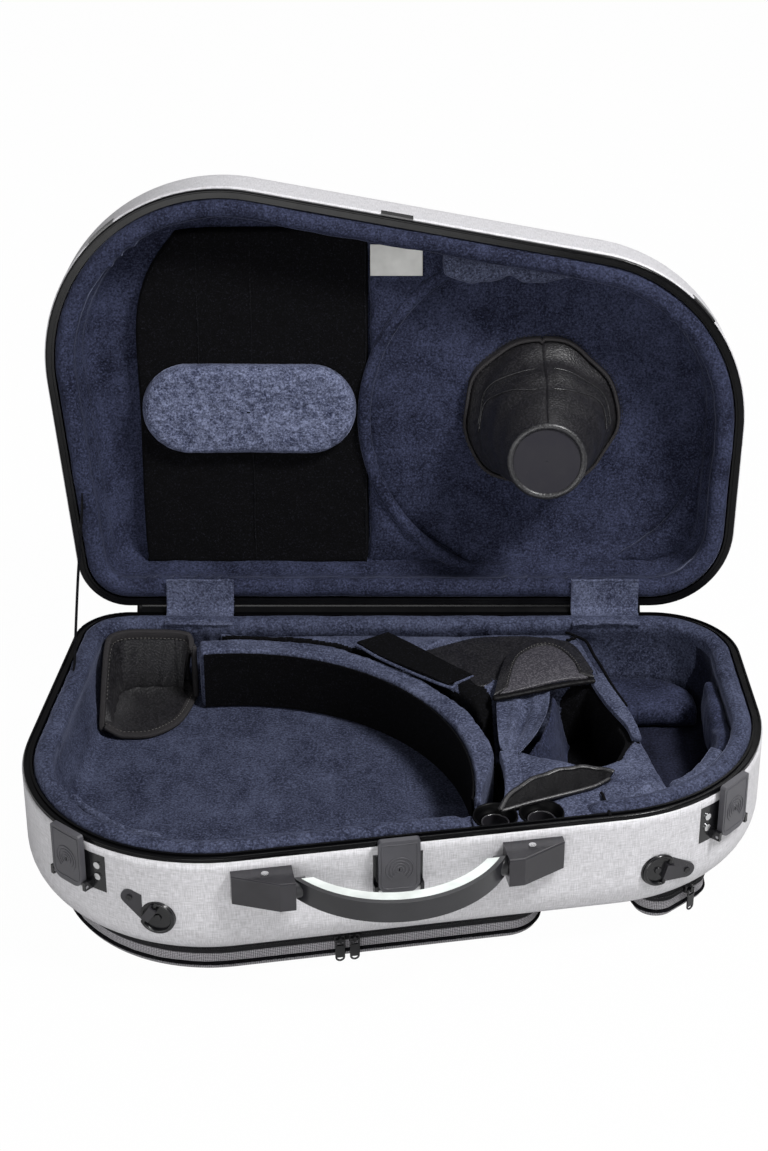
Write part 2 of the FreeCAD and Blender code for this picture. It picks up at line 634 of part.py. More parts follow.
def makeHinges():
    """Two butt hinges on the rear wall: plates on both halves, knuckles in turn, and a pin."""
    basePlates, lidPlates, pins = [], [], []
    alongX = Rotation(Vector(0, 1, 0), 90)
    count = 5
    share = s.hingeLength / count
    for middle in (-s.hingeLeftX, s.hingeRightX):
        start = middle - s.hingeLength / 2
        gap = s.knuckleRadius + s.clearance
        for side, plates in ((-1, basePlates), (1, lidPlates)):
            near = rimPlane + side * gap
            far = rimPlane + side * s.leafHeight
            low, high = min(near, far), max(near, far)
            plate = block(start, start + s.hingeLength, s.backY, s.backY + s.leafThick, low, high)
            for number in range(0 if side < 0 else 1, count, 2):
                left = start + number * share + s.clearance / 2
                long = share - s.clearance
                web = block(
                    left, left + long, s.backY, s.backY + s.leafThick, min(rimPlane, near),
                    max(rimPlane, near),
                )
                knuckle = Part.makeCylinder(
                    s.knuckleRadius, long, Vector(left, hingeY, rimPlane), Vector(1, 0, 0)
                )
                plate = plate.fuse(web).fuse(knuckle)
            hole = Part.makeCylinder(
                s.pinRadius + s.pinFit, s.hingeLength, Vector(start, hingeY, rimPlane), Vector(1, 0, 0)
            )
            plates.append(plate.cut(hole).removeSplitter())
        pins.append(primitive(
            "Cylinder", "hinge_pin_%d" % (len(pins) + 1), Placement(Vector(start, hingeY, rimPlane), alongX),
            Radius="<<Sizes>>.pinRadius", Height="<<Sizes>>.hingeLength",
        ))
    feature("hinge_base_leaves", Part.makeCompound(basePlates))
    feature("hinge_lid_leaves", Part.makeCompound(lidPlates), lidOpen)
    grouped("hinge_pins", pins)


def makeCovers():
    """Plush flaps over the hinges, from the base's roll over both rims to the lid's roll."""
    thick = s.coverThick
    near = s.backY - rollInset
    low = rimPlane + s.clearance
    lidFace = lidOpen.multVec(Vector(0, s.backY - rollInset, rimPlane))
    rise = lidOpen.multVec(Vector(0, s.backY, rimPlane)).y
    face = min(rise, s.backY) - 2 * s.clearance
    lean = math.tan(math.radians(s.openAngle - 90))
    top = lidFace.z
    outer = [(near, low), (face, low), (face + lean * (top - low), top)]
    inner = [(face - thick + lean * (top - low), top), (face - thick, low + thick), (near, low + thick)]
    flaps = []
    for middle in (-s.hingeLeftX, s.hingeRightX):
        start = middle - s.hingeLength / 2
        ring = [Vector(start, y, z) for y, z in outer + inner]
        section = Part.Face(Part.makePolygon(ring + ring[:1]))
        flaps.append(section.extrude(Vector(s.hingeLength, 0, 0)))
    feature("hinge_covers", Part.makeCompound(flaps))


def makeStay():
    """The ribbon that stops the lid, between a small anchor plate on each half."""
    y = s.backY - s.ribbonReach
    left = -s.ribbonX
    wide = s.ribbonWidth
    thick = s.plateProud
    half = wide * s.anchorShare
    for label, low, place in (
        ("stay_anchor_base", rimPlane - s.rollBelow, Placement()),
        ("stay_anchor_lid", rimPlane + s.rollBelow - thick, lidOpen),
    ):
        corner = Placement(Vector(left - wide / 4, y - half, low), Rotation())
        keep(primitive(
            "Box", label, corner, Length="<<Sizes>>.ribbonWidth / 2",
            Width="<<Sizes>>.ribbonWidth * <<Sizes>>.anchorShare * 2", Height="<<Sizes>>.plateProud",
        ), label, place.multiply(corner))
    start = Vector(left, y, rimPlane - s.rollBelow + thick + s.clearance)
    end = lidOpen.multVec(Vector(left, y, rimPlane + s.rollBelow - thick - s.clearance))
    along = end - start
    turn = Rotation(Vector(0, 0, 1), along)
    short = wide * s.softShare
    thin = s.ribbonThick / 2
    band = block(-thin, thin, -wide / 2, wide / 2, short, along.Length - short)
    feature("stay_ribbon", placed(band, Placement(start, turn)))


# Latches


def latchLever(label, place):
    """A lever: a rounded tab whose foot is round about its pivot."""
    body = doc.addObject("PartDesign::Body", label)
    half = s.leverWidth / 2
    low = -s.pivotDrop - s.leverFoot
    high = s.leverRise
    soft = s.leverWidth * s.leverSoftShare
    ring = [
        (Vector(-half + 2 * soft, low + 2 * soft, 0), 2 * soft),
        (Vector(half - 2 * soft, low + 2 * soft, 0), 2 * soft),
        (Vector(half - soft / 2, high - soft / 2, 0), soft / 2),
        (Vector(-half + soft / 2, high - soft / 2, 0), soft / 2),
    ]
    sketch = sketchOn(body, label + "_outline", "XZ_Plane")
    drawWire(sketch, hullWire(ring, 0, 0))
    pad = body.newObject("PartDesign::Pad", label + "_tab")
    pad.Profile = sketch
    pad.setExpression("Length", "<<Sizes>>.leverThick")
    doc.recompute()
    groove = body.newObject("PartDesign::SubtractiveCylinder", label + "_bore")
    groove.setExpression("Radius", "<<Sizes>>.pinRadius + <<Sizes>>.pinFit")
    groove.setExpression("Height", "<<Sizes>>.leverWidth * 2")
    start = Vector(-s.leverWidth, -s.leverThick / 2, -s.pivotDrop)
    groove.Placement = Placement(start, Rotation(Vector(0, 1, 0), 90))
    doc.recompute()
    out = Placement(Vector(0, s.leverThick / 2 - s.pivotOut, 0), Rotation())
    return keep(body, label, place.multiply(out))


def makeLatches():
    """Three latches: plates on the wall with ears, a pin each, and the levers."""
    plates, pins, keepers = [], [], []
    half = s.leverWidth / 2
    for side, place in latchPlaces.items():
        left = half + s.earThick + s.clearance
        right = left
        if side == "left":
            right += s.plateSide
        if side == "right":
            left += s.plateSide
        low = rimPlane - s.pivotDrop - s.earThick
        high = rimPlane - s.rimBand - s.clearance
        plate = wallPatch(s.plateProud, s.shellInset, low, high, -left, right, place)
        for sign in (-1, 1):
            x = sign * (half + s.clearance + s.earThick / 2)
            ear = block(
                x - s.earThick / 2, x + s.earThick / 2, -s.pivotOut - s.leverThick / 2, s.shellInset,
                -s.pivotDrop - s.earThick, -s.pivotDrop + s.leverFoot * 2,
            )
            ear = placed(ear, place).cut(slab(s.shellInset, low - s.overrun, rimPlane))
            plate = plate.fuse(ear)
        pin = Part.makeCylinder(
            s.pinRadius, 2 * half + 2 * s.earThick, Vector(-half - s.earThick, -s.pivotOut, -s.pivotDrop),
            Vector(1, 0, 0),
        )
        pins.append(placed(pin, place))
        hole = Part.makeCylinder(
            s.pinRadius, 4 * half, Vector(-2 * half, -s.pivotOut, -s.pivotDrop), Vector(1, 0, 0)
        )
        plates.append(plate.cut(placed(hole, place)))
        keeperHalf = s.keeperWidth / 2
        low = rimPlane + s.plateProud
        keepers.append(
            wallPatch(s.plateProud, 0, low, low + s.keeperHeight, -keeperHalf, keeperHalf, place)
        )
    feature("latch_plates", Part.makeCompound(plates))
    feature("latch_pins", Part.makeCompound(pins))
    feature("lid_keepers", Part.makeCompound(keepers), lidOpen)
    for side, place in latchPlaces.items():
        latchLever("latch_lever_" + side, place)


# The handle


bracketShares = [(1.0, 0.0), (1.0, 0.35), (0.26, 1.0), (0.0, 1.0), (0.0, 0.0)]


def makeHandle():
    """Wedge brackets, and a bowed grip with a soft liner that swings on pins in them."""
    brackets, pins = [], []
    low = -s.bracketTop - s.bracketHeight
    for sign in (-1, 1):
        inner = s.gripHalf + s.clearance
        points = [(sign * (inner + s.bracketLong * x), -s.bracketProud * y) for x, y in bracketShares]
        points[0] = (points[0][0], s.shellInset)
        points[-1] = (points[-1][0], s.shellInset)
        body = prism(points, low, -s.bracketTop)
        outer = [edge for edge in edgesAt(body, -s.bracketTop) if edge.BoundBox.YMax < -s.clearance]
        body = body.makeFillet(s.rimRound, outer)
        start = Vector(sign * s.gripHalf, -s.hubOut, -s.hubDrop)
        hole = Part.makeCylinder(s.pinRadius, s.pinLong, start, Vector(sign, 0, 0))
        brackets.append(placed(body.cut(hole), frontPlace))
    feature("handle_brackets", Part.makeCompound(brackets))
    high = -s.hubDrop + s.gripHeight / 2
    bottom = -s.hubDrop - s.gripHeight / 2

    def bow(reach, half, out):
        """The face between an arc through the grip's middle and a chord near the wall."""
        ends = [Vector(-half, -out, bottom), Vector(0, -reach - s.hubOut, bottom), Vector(half, -out, bottom)]
        arc = Part.Arc(*ends).toShape()
        chord = Part.makeLine(ends[2], ends[0])
        return Part.Face(Part.Wire([arc, chord])).extrude(Vector(0, 0, high - bottom))

    hubs = []
    for sign in (-1, 1):
        start = Vector(sign * s.gripHalf, -s.hubOut, -s.hubDrop)
        hubs.append(Part.makeCylinder(s.hubRadius, s.hubLong, start, Vector(-sign, 0, 0)))
    outer = bow(s.gripReach, s.gripHalf, s.hubOut)
    middle = bow(s.gripReach - s.gripSkin, s.gripHalf - s.gripSkin, s.hubOut)
    inner = bow(s.gripReach - s.gripThick, s.gripHalf - s.gripThick, s.hubOut)
    skin = outer.cut(middle)
    for hub in hubs:
        skin = skin.fuse(hub)
    feature("handle_grip", placed(skin.removeSplitter(), frontPlace))
    liner = middle.cut(inner)
    for hub in hubs:
        liner = liner.cut(hub)
    lift = s.rimRound / 2
    band = block(-s.gripHalf, s.gripHalf, -2 * s.gripReach, 0, bottom + lift, high - lift)
    liner = max(liner.common(band).Solids, key=lambda solid: solid.Volume)
    feature("handle_liner", placed(liner, frontPlace))
    for sign in (-1, 1):
        start = Vector(sign * (s.gripHalf + s.clearance), -s.hubOut, -s.hubDrop)
        radius = s.pinRadius - s.pinFit
        pins.append(Part.makeCylinder(radius, s.pinLong - s.clearance, start, Vector(sign, 0, 0)))
    feature("handle_pins", placed(Part.makeCompound(pins), frontPlace))


# Strap rings


def ringPlaces():
    """Where the two ring plates sit on the wall: flat, with X along the plate to its big end."""
    places = []
    for angle, tilt in ((s.ringLeftAngle, s.ringLeftTiltAngle), (s.ringRightAngle, s.ringRightTiltAngle)):
        wall = wallPlace(angle, s.ringDrop)
        spin = Rotation(Vector(0, 1, 0), -tilt)
        places.append(wall.multiply(Placement(Vector(0, s.shellInset, 0), spin)))
    return places


def makeRings():
    """Plates with a big and a small round end, a bridge over the bar, and a D-ring each."""
    plates, rings = [], []
    ends = [
        (Vector(-s.ringPlateLong, 0, 0), s.ringPlateSmall), (Vector(), s.ringPlateBig)
    ]
    flat = Rotation(Vector(1, 0, 0), 90)
    reach = s.ringPlateThick + s.ringWire + s.clearance
    bar = Vector(-s.ringBar, 0, 0)
    spread = math.degrees(math.acos(-s.ringBar / s.ringRadius))
    halfBar = math.sqrt(s.ringRadius ** 2 - s.ringBar ** 2)
    for place, side in zip(ringPlaces(), ("left", "right")):
        plate = hullSlab(ends, 0, -s.ringPlateThick, s.ringPlateThick)
        bridge = block(
            bar.x - 2 * s.ringWire, bar.x + 2 * s.ringWire, -s.ringRadius / 2, s.ringRadius / 2, 0,
            reach + 2 * s.ringWire,
        )
        along = Vector(bar.x, -s.ringRadius, reach)
        bore = Part.makeCylinder(s.ringWire + s.clearance, 2 * s.ringRadius, along, Vector(0, 1, 0))
        plate = placed(plate.fuse(bridge).cut(bore), place.multiply(Placement(Vector(), flat)))
        plates.append(plate.cut(slab(s.shellInset, shellBottom, rimPlane)).removeSplitter())
        centre = Vector(0, 0, reach)
        ring = Part.makeTorus(
            s.ringRadius, s.ringWire, centre, Vector(0, 0, 1), 0, 360, 2 * spread
        )
        ring.rotate(centre, Vector(0, 0, 1), -spread)
        start = Vector(bar.x, -halfBar, reach)
        rod = Part.makeCylinder(s.ringWire, 2 * halfBar, start, Vector(0, 1, 0))
        for sign in (-1, 1):
            rod = rod.fuse(Part.makeSphere(s.ringWire, Vector(bar.x, sign * halfBar, reach)))
        rings.append((side, placed(ring.fuse(rod), place.multiply(Placement(Vector(), flat)))))
    feature("ring_plates", Part.makeCompound(plates))
    for side, ring in rings:
        feature("d_ring_" + side, ring)


# Pockets under the base


def lineY(x, inset, radius):
    """The Y of a circle of a radius that touches the front run at an inset."""
    normal = normalAt(frontAngle)
    reach = normal.dot(frontStart) - inset - radius
    return (reach - normal.x * x) / normal.y


def pocketCircles():
    """The rounded corners of the large and the small pocket."""
    corner = s.pocketCorner
    large = [
        (corners[0][0], corners[0][1] - s.pocketInset),
        (Vector(s.largeRight - corner, lineY(s.largeRight - corner, s.pocketInset, corner), 0), corner),
        (Vector(s.largeRight - corner, s.pocketRear - corner, 0), corner),
        (Vector(-s.largeLeft + corner, s.pocketRear - corner, 0), corner),
    ]
    tight = corner * s.tightCornerShare
    reach = corners[1][1] - s.pocketInset * s.tightInsetShare - tight

    def onArc(x):
        """A corner that touches the front-right arc from inside."""
        across = x - corners[1][0].x
        return Vector(x, corners[1][0].y - math.sqrt(reach ** 2 - across ** 2), 0)

    small = [
        (onArc(s.smallLeft + tight), tight), (onArc(s.smallRight - tight), tight),
        (Vector(s.smallRight - tight, s.smallRear - tight, 0), tight),
        (Vector(s.smallLeft + tight, s.smallRear - tight, 0), tight),
    ]
    return large, small


def makePockets():
    """Two flat pockets with piping round their feet and a zip round the front under the shell."""
    piping, tapes = [], []
    zipTop = shellBottom - s.zipDrop / 2
    for circles, label in zip(pocketCircles(), ("large_pocket", "small_pocket")):
        bag = rounded(hullSlab(circles, 0, 0, shellBottom), 0, s.zipDrop)
        feature(label, bag)
        low, high = s.zipDrop, s.zipDrop + 2 * s.pipingRadius
        soft = s.pipingRadius * s.pipingRoundShare
        ring = rounded(rounded(hullSlab(circles, -s.pipingRadius, low, high), low, soft), high, soft)
        piping.append(ring.cut(hullSlab(circles, 0, low, high)))
        tape = hullSlab(circles, -s.zipThick, zipTop - s.zipWidth, zipTop)
        tapes.append(tape.cut(hullSlab(circles, 0, zipTop - s.zipWidth, zipTop)))
    feature("pocket_piping", Part.makeCompound(piping))
    feature("zip_tapes", Part.makeCompound(tapes))


def zipPlaces():
    """Where the three zip sliders sit, each in a frame like a wall's."""
    level = shellBottom - s.zipDrop / 2 - s.zipWidth / 2
    large, small = pocketCircles()
    turn = frontTurn
    front = frontPlace.Base + turn.multVec(Vector(0, s.pocketInset, 0))
    places = []
    for along in (-s.zipOne, -s.zipTwo):
        point = front + turn.multVec(Vector(along, 0, 0))
        places.append(Placement(Vector(point.x, point.y, level), turn))
    angle = tangentAngles(small)[0]
    edge = (small[0][0] + small[1][0]) / 2 + normalAt(angle) * small[0][1]
    places.append(Placement(Vector(edge.x, edge.y, level), Rotation(Vector(0, 0, 1), angle + 90)))
    return places


def zipPull(axle):
    """A pull: a bar through the slider's eye, two wires to a round end, and a web between them."""
    wide = s.pullWide / 2
    turnDown = Rotation(Vector(1, 0, 0), -90)
    bar = Part.makeCylinder(s.pullWire, 2 * wide, axle + Vector(-wide, 0, 0), Vector(1, 0, 0))
    members = []
    for sign in (-1, 1):
        top = axle + Vector(sign * wide, 0, 0)
        members.append(Part.makeCylinder(s.pullWire, s.pullLong - wide, top, Vector(0, 0, -1)))
        members.append(Part.makeSphere(s.pullWire, top))
    loop = Part.makeTorus(wide, s.pullWire, Vector(), Vector(0, 0, 1), 0, 360, 180)
    members.append(placed(loop, Placement(axle + Vector(0, 0, wide - s.pullLong), turnDown)))
    members.append(block(
        -wide, wide, axle.y - s.pullWire, axle.y + s.pullWire, wide - s.pullLong, -s.pullLong * s.pullTabShare
    ))
    return bar.fuse(members)


def makeZips():
    """Zip sliders with a hooked nose, and wire-looped pulls that hang on them."""
    out = -s.zipThick - s.clearance
    front = out - s.sliderThick
    nose = 3 * s.pullWire
    axle = Vector(0, front - nose / 2, 0)
    for number, place in enumerate(zipPlaces(), start=1):
        half = s.sliderLong / 2
        body = block(-half, half, front, out, -s.sliderWide / 2, s.sliderWide / 2)
        soft = [edge for edge in body.Edges if edge.BoundBox.ZLength > s.sliderWide / 2]
        body = body.makeFillet(s.sliderThick * s.sliderRoundShare, soft)
        lug = block(-s.sliderWide / 6, s.sliderWide / 6, front - nose, front, -nose, nose)
        start = axle - Vector(s.sliderWide, 0, 0)
        bore = Part.makeCylinder(s.pullWire + s.clearance / 2, 2 * s.sliderWide, start, Vector(1, 0, 0))
        feature("zip_slider_%d" % number, placed(body.fuse(lug).cut(bore), place))
        feature("zip_pull_%d" % number, placed(zipPull(axle), place))


# Small parts


def makeFeet():
    """Rubber feet on the rear walls, two on each half, for standing the closed case up."""
    turnBack = Rotation(Vector(1, 0, 0), -90)
    seat = s.backY - s.shellInset
    for label, level, place in (
        ("base_feet", rimPlane - s.footLevel, Placement()), ("lid_feet", rimPlane + s.footLevel, lidOpen)
    ):
        feet = [
            primitive(
                "Cone", label + side, Placement(Vector(x, seat, level), turnBack),
                Radius1="<<Sizes>>.footRadius", Radius2="<<Sizes>>.footRadius * <<Sizes>>.footTaperShare",
                Height="<<Sizes>>.footProud + <<Sizes>>.shellInset",
            )
            for side, x in (("_left", -s.footX), ("_right", s.footX))
        ]
        grouped(label, feet, place)


def latchScrews():
    """Screw heads beside the two side levers, square to the curved wall."""
    heads = []
    x = s.leverWidth / 2 + s.earThick + s.plateSide / 2
    for side, sign, (centre, radius) in (("left", 1, corners[0]), ("right", -1, corners[1])):
        for share in (s.upperScrewShare, s.lowerScrewShare):
            point = latchPlaces[side].multVec(Vector(sign * x, 0, -s.pivotDrop * share))
            out = Vector(point.x - centre.x, point.y - centre.y, 0).normalize()
            seat = centre + out * (radius + s.plateProud) + Vector(0, 0, point.z)
            heads.append(Part.makeCylinder(s.screwRadius, s.screwProud, seat, out))
    return heads


def makeScrews():
    """Round-headed screws in the latch plates, the handle brackets and the ring plates."""
    heads = latchScrews()
    for sign in (-1, 1):
        x = sign * (s.gripHalf + s.bracketLong * s.bracketScrewShare)
        seat = Vector(x, -s.hubOut * s.bracketScrewOutShare, -s.bracketTop)
        head = Part.makeCylinder(s.screwRadius, s.screwProud, seat, Vector(0, 0, 1))
        heads.append(placed(head, frontPlace))
    feature("latch_and_bracket_screws", Part.makeCompound(heads))
    dots = []
    for place in ringPlaces():
        for along in (-s.ringPlateLong, s.ringRadius * s.ringScrewShare):
            seat = Vector(along, -s.ringPlateThick, 0)
            dot = Part.makeCylinder(s.screwRadius * s.smallHeadShare, s.screwProud, seat, Vector(0, -1, 0))
            dots.append(placed(dot, place))
    feature("ring_plate_screws", Part.makeCompound(dots))


makeShell("base_shell", shellBottom, rimUnder, shellBottom)
makeShell("lid_shell", rimPlane + s.rimTop, lidTop, lidTop, lidOpen)
makeRims()
makeLinings()
makeDivider()
makeCentreBlock()
makeCups()
makeCornerPocket()
makeTopLeather()
makeSidePads()
makeLidPads()
makeCone()
makeHinges()
makeCovers()
makeStay()
makeLatches()
makeHandle()
makeRings()
makePockets()
makeZips()
makeFeet()
makeScrews()

doc.recompute()
for label, obj in pieces.items():
    shape = obj.Shape
    if any(word in obj.State for word in ("Invalid", "Error")) or shape.isNull() or not shape.isValid():
        raise SystemExit("the sub-part %s failed" % label)
for label, obj in pieces.items():
    obj.Shape.exportStep("parts/%s.step" % label)
    print(label, len(obj.Shape.Solids), round(obj.Shape.Volume))
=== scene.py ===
import math
import bmesh
import bpy
import numpy as np
from mathutils import Matrix, Vector


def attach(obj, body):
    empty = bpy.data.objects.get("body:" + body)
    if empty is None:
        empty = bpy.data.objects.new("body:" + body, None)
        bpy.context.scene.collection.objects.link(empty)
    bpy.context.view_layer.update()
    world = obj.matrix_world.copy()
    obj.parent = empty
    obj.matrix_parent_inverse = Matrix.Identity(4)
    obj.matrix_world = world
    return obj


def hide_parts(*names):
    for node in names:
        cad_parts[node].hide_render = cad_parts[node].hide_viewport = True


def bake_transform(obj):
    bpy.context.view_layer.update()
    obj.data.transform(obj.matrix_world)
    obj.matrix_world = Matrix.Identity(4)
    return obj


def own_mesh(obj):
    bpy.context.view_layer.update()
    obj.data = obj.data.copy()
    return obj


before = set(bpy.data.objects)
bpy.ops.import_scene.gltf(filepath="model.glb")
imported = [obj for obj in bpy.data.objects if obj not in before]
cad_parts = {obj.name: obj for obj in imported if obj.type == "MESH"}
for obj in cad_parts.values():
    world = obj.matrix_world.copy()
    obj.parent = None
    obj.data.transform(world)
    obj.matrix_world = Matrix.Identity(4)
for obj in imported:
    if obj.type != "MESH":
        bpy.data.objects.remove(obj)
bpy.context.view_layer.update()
scene = bpy.context.scene
print("frame loaded")

# Sizes of the whole case in metres, as the frame has them
case = {
    "openAngle": 97.0, "rimPlane": 0.130, "hingeY": 0.1955, "floorZ": 0.064, "shellLow": 0.030, "lidDepth": 0.085,
    "lidFloor": 0.050, "rimWidth": 0.0075, "topZ": 0.125,
    "corners": [(-0.1519, -0.0364, 0.1554), (0.1521, 0.0188, 0.1553), (0.2304, 0.1187, 0.0733),
                (-0.2425, 0.1462, 0.0458)],
}
rimZ = case["rimPlane"]
hinge = Matrix.Translation((0, case["hingeY"], rimZ))
lidPlace = hinge @ Matrix.Rotation(-math.radians(case["openAngle"]), 4, "X") @ hinge.inverted()


def addNode(tree, kind, settings=None, values=None, out=0):
    # a new node with its settings and its inputs; gives back one of its outputs
    node = tree.nodes.new("ShaderNode" + kind)
    for key, value in (settings or {}).items():
        setattr(node, key, value)
    for key, value in (values or {}).items():
        feed(node.inputs[key], value)
    return Wire(tree, node.outputs[out])


def feed(socket, value):
    if isinstance(value, Wire):
        value.tree.links.new(value.socket, socket)
    else:
        socket.default_value = (*value, 1) if socket.type == "RGBA" and len(value) == 3 else value


class Wire:
    # one output of a node; sums and products of it are Math nodes
    def __init__(self, tree, socket):
        self.tree, self.socket = tree, socket

    def math(self, operation, other):
        return addNode(self.tree, "Math", {"operation": operation}, {0: self, 1: other})

    def __add__(self, other):
        return self.math("ADD", other)

    def __mul__(self, other):
        return self.math("MULTIPLY", other)


class Finish:
    # a material, its shader, and the nodes that its looks are made of
    def __init__(self, name, **sockets):
        self.material = bpy.data.materials.new(name)
        self.material.use_nodes = True
        self.tree = self.material.node_tree
        self.shader = self.tree.nodes["Principled BSDF"]
        self.set(**sockets)

    def set(self, **sockets):
        for key, value in sockets.items():
            feed(self.shader.inputs[key.replace("_", " ")], value)
        return self.material

    def add(self, kind, settings, values, out=0):
        return addNode(self.tree, kind, settings, values, out)

    def where(self, size=(1, 1, 1), kind="Object"):
        return self.add("Mapping", None, {0: addNode(self.tree, "TexCoord", out=kind), 3: size})

    def noise(self, where, scale, detail=3.0, rough=0.55, warp=0.0):
        return self.add("TexNoise", None, {"Vector": where, "Scale": scale, "Detail": detail, "Roughness": rough,
                                           "Distortion": warp})

    def cells(self, where, scale, feature="F1"):
        return self.add("TexVoronoi", {"feature": feature}, {"Vector": where, "Scale": scale})

    def bands(self, direction, scale, warp, detailScale=1.0):
        return self.add("TexWave", {"bands_direction": direction}, {
            "Vector": self.where(kind="UV"), "Scale": scale, "Distortion": warp, "Detail Scale": detailScale})

    def fit(self, value, low, high, start=0.0, end=1.0):
        return self.add("MapRange", None, {0: value, 1: low, 2: high, 3: start, 4: end})

    def blend(self, factor, first, second):
        return self.add("Mix", {"data_type": "RGBA"}, {0: factor, 6: first, 7: second}, 2)

    def bump(self, height, depth, strength, under=None):
        values = {"Height": height, "Distance": depth, "Strength": strength}
        if under:
            values["Normal"] = under
        return self.add("Bump", None, values)


def tinted(colour, factor):
    return tuple(factor * part for part in colour)


def unit(vectors):
    return vectors / np.linalg.norm(vectors, axis=-1, keepdims=True)


def walked(path):
    # the length from a path's start to each of its points
    return np.concatenate([[0], np.cumsum(np.linalg.norm(np.diff(path, axis=0), axis=1))])


def sampled(lengths, known, table):
    # the table's columns, known at some lengths, read at others
    return np.stack([np.interp(lengths, known, column) for column in table.T], 1)


def onCircle(turn, radius=1.0, middle=(0.0, 0.0)):
    return np.stack([middle[0] + radius * np.cos(turn), middle[1] + radius * np.sin(turn)], -1)


def fullTurn(count):
    return np.linspace(0, 2 * math.pi, count, endpoint=False)


def raised(flat, height):
    # plan places, each with its height
    height = np.asarray(height, float)[..., None]
    return np.concatenate([flat, np.broadcast_to(height, (*flat.shape[:-1], 1))], -1)


def plan(*pairs):
    # places given in millimetres
    return np.array(pairs, float) / 1000


def bell(value, centre, width):
    return np.exp(-((value - centre) / width) ** 2)


def ease(value, low, high):
    share = np.clip((value - low) / (high - low), 0, 1)
    return share * share * (3 - 2 * share)


def smoothNoise(points, size, seed, octaves=3):
    # sums of sine waves in random directions: a soft even noise in about -1..1
    random = np.random.default_rng(seed)
    total = np.zeros(points.shape[:-1])
    for octave in range(octaves):
        waves = random.normal(size=(9, 3))
        pace = 2 * math.pi / size * 2 ** octave
        waves *= pace / np.linalg.norm(waves, axis=1)[:, None] * random.uniform(0.6, 1.3, (9, 1))
        phases = random.uniform(0, 2 * math.pi, 9)
        total += np.sin(points @ waves.T + phases).sum(-1) / 9 ** 0.5 / 1.6 ** octave
    return total / 2


def planNoise(x, y, *how):
    return smoothNoise(np.stack([x, y, 0 * x], -1), *how)


def hullRing(circles, count):
    # arcs of the circles joined by their tangents, walked at even lengths: points, outward normals, lengths
    circles = np.array(circles, float)
    after = np.roll(circles, -1, axis=0)
    along = after[:, :2] - circles[:, :2]
    reach = np.hypot(along[:, 0], along[:, 1])
    angles = np.arctan2(along[:, 1], along[:, 0]) - np.arccos((circles[:, 2] - after[:, 2]) / reach)
    points, normals = [], []
    for number, (x, y, radius) in enumerate(circles):
        first, last = angles[number - 1], angles[number]
        last += 2 * math.pi * math.ceil((first - last) / (2 * math.pi))
        turn = np.linspace(first, last, 160)
        points.append(onCircle(turn, radius, (x, y)))
        normals.append(onCircle(turn))
    points, normals = np.vstack([*points, points[0][:1]]), np.vstack([*normals, normals[0][:1]])
    lengths = walked(points)
    walk = np.linspace(0, lengths[-1], count, endpoint=False)
    return sampled(walk, lengths, points), unit(sampled(walk, lengths, normals)), walk


def walled(circles, count, inset, height):
    # an outline carried along a profile of insets and heights: grid, uv lengths, ring and outward normals
    ring, normal, walk = hullRing(circles, count)
    grid = raised(ring[None] - normal[None] * inset[:, None, None], height[:, None])
    uv = np.stack(np.broadcast_arrays(walk[None], walked(np.stack([height, inset], 1))[:, None]), 2)
    return grid, uv, ring, normal


def drawnIn(row, shares, middle=None):
    # copies of a ring drawn in to its middle
    middle = row.mean(0) if middle is None else middle
    return middle + (row - middle)[None] * shares[:, None, None]


def gridFaces(rows, columns, closed=False, start=0):
    # quads between neighbouring rows and columns of a grid
    across = columns if closed else columns - 1
    row, column = (part.ravel() for part in np.meshgrid(np.arange(rows - 1), np.arange(across), indexing="ij"))
    beside = (column + 1) % columns
    return start + np.stack([row * columns + column, row * columns + beside,
                             (row + 1) * columns + beside, (row + 1) * columns + column], 1)


def piece(name, patches, material, body="base", stands=None, solid=0.0, shut=True):
    # one object from grids of points; each patch is (grid, closed, uv grid or None), turned outwards where shut
    points, faces, corners, start = [], [], [], 0
    for grid, closed, uv in patches:
        rows, columns = grid.shape[:2]
        if shut and not solid:
            # the volume's sign: sum of a . ((b - d) x c) over the quads
            loose = grid.reshape(-1, 3) - grid.reshape(-1, 3).mean(0)
            a, b, c, d = (loose[corner] for corner in gridFaces(rows, columns, closed).T)
            if np.sum(a * np.cross(b - d, c)) < 0:
                grid = grid[::-1]
                uv = uv if uv is None else uv[::-1]
        points.append(grid.reshape(-1, 3))
        faces.append(gridFaces(rows, columns, closed, start))
        uv = grid[..., :2] if uv is None else uv
        if closed:
            uv = np.concatenate([uv, 2 * uv[:, -1:] - uv[:, -2:-1]], 1)
        corners.append(uv.reshape(-1, 2)[gridFaces(*uv.shape[:2])])
        start += rows * columns
    points, faces, corners = np.concatenate(points), np.concatenate(faces), np.concatenate(corners)
    mesh = bpy.data.meshes.new(name)
    mesh.vertices.add(len(points))
    setPoints(mesh, points)
    mesh.loops.add(faces.size)
    mesh.loops.foreach_set("vertex_index", faces.astype(np.int32).ravel())
    mesh.polygons.add(len(faces))
    mesh.polygons.foreach_set("loop_start", np.arange(0, faces.size, 4, dtype=np.int32))
    mesh.polygons.foreach_set("use_smooth", np.ones(len(faces), bool))
    mesh.uv_layers.new(name="UVMap").uv.foreach_set("vector", corners.astype(np.float32).ravel())
    mesh.update(calc_edges=True)
    mesh.validate()
    shape = bpy.data.objects.new(name, mesh)
    scene.collection.objects.link(shape)
    if body == "lid":
        mesh.transform(lidPlace)
    return dress(shape, material, body, stands, solid)


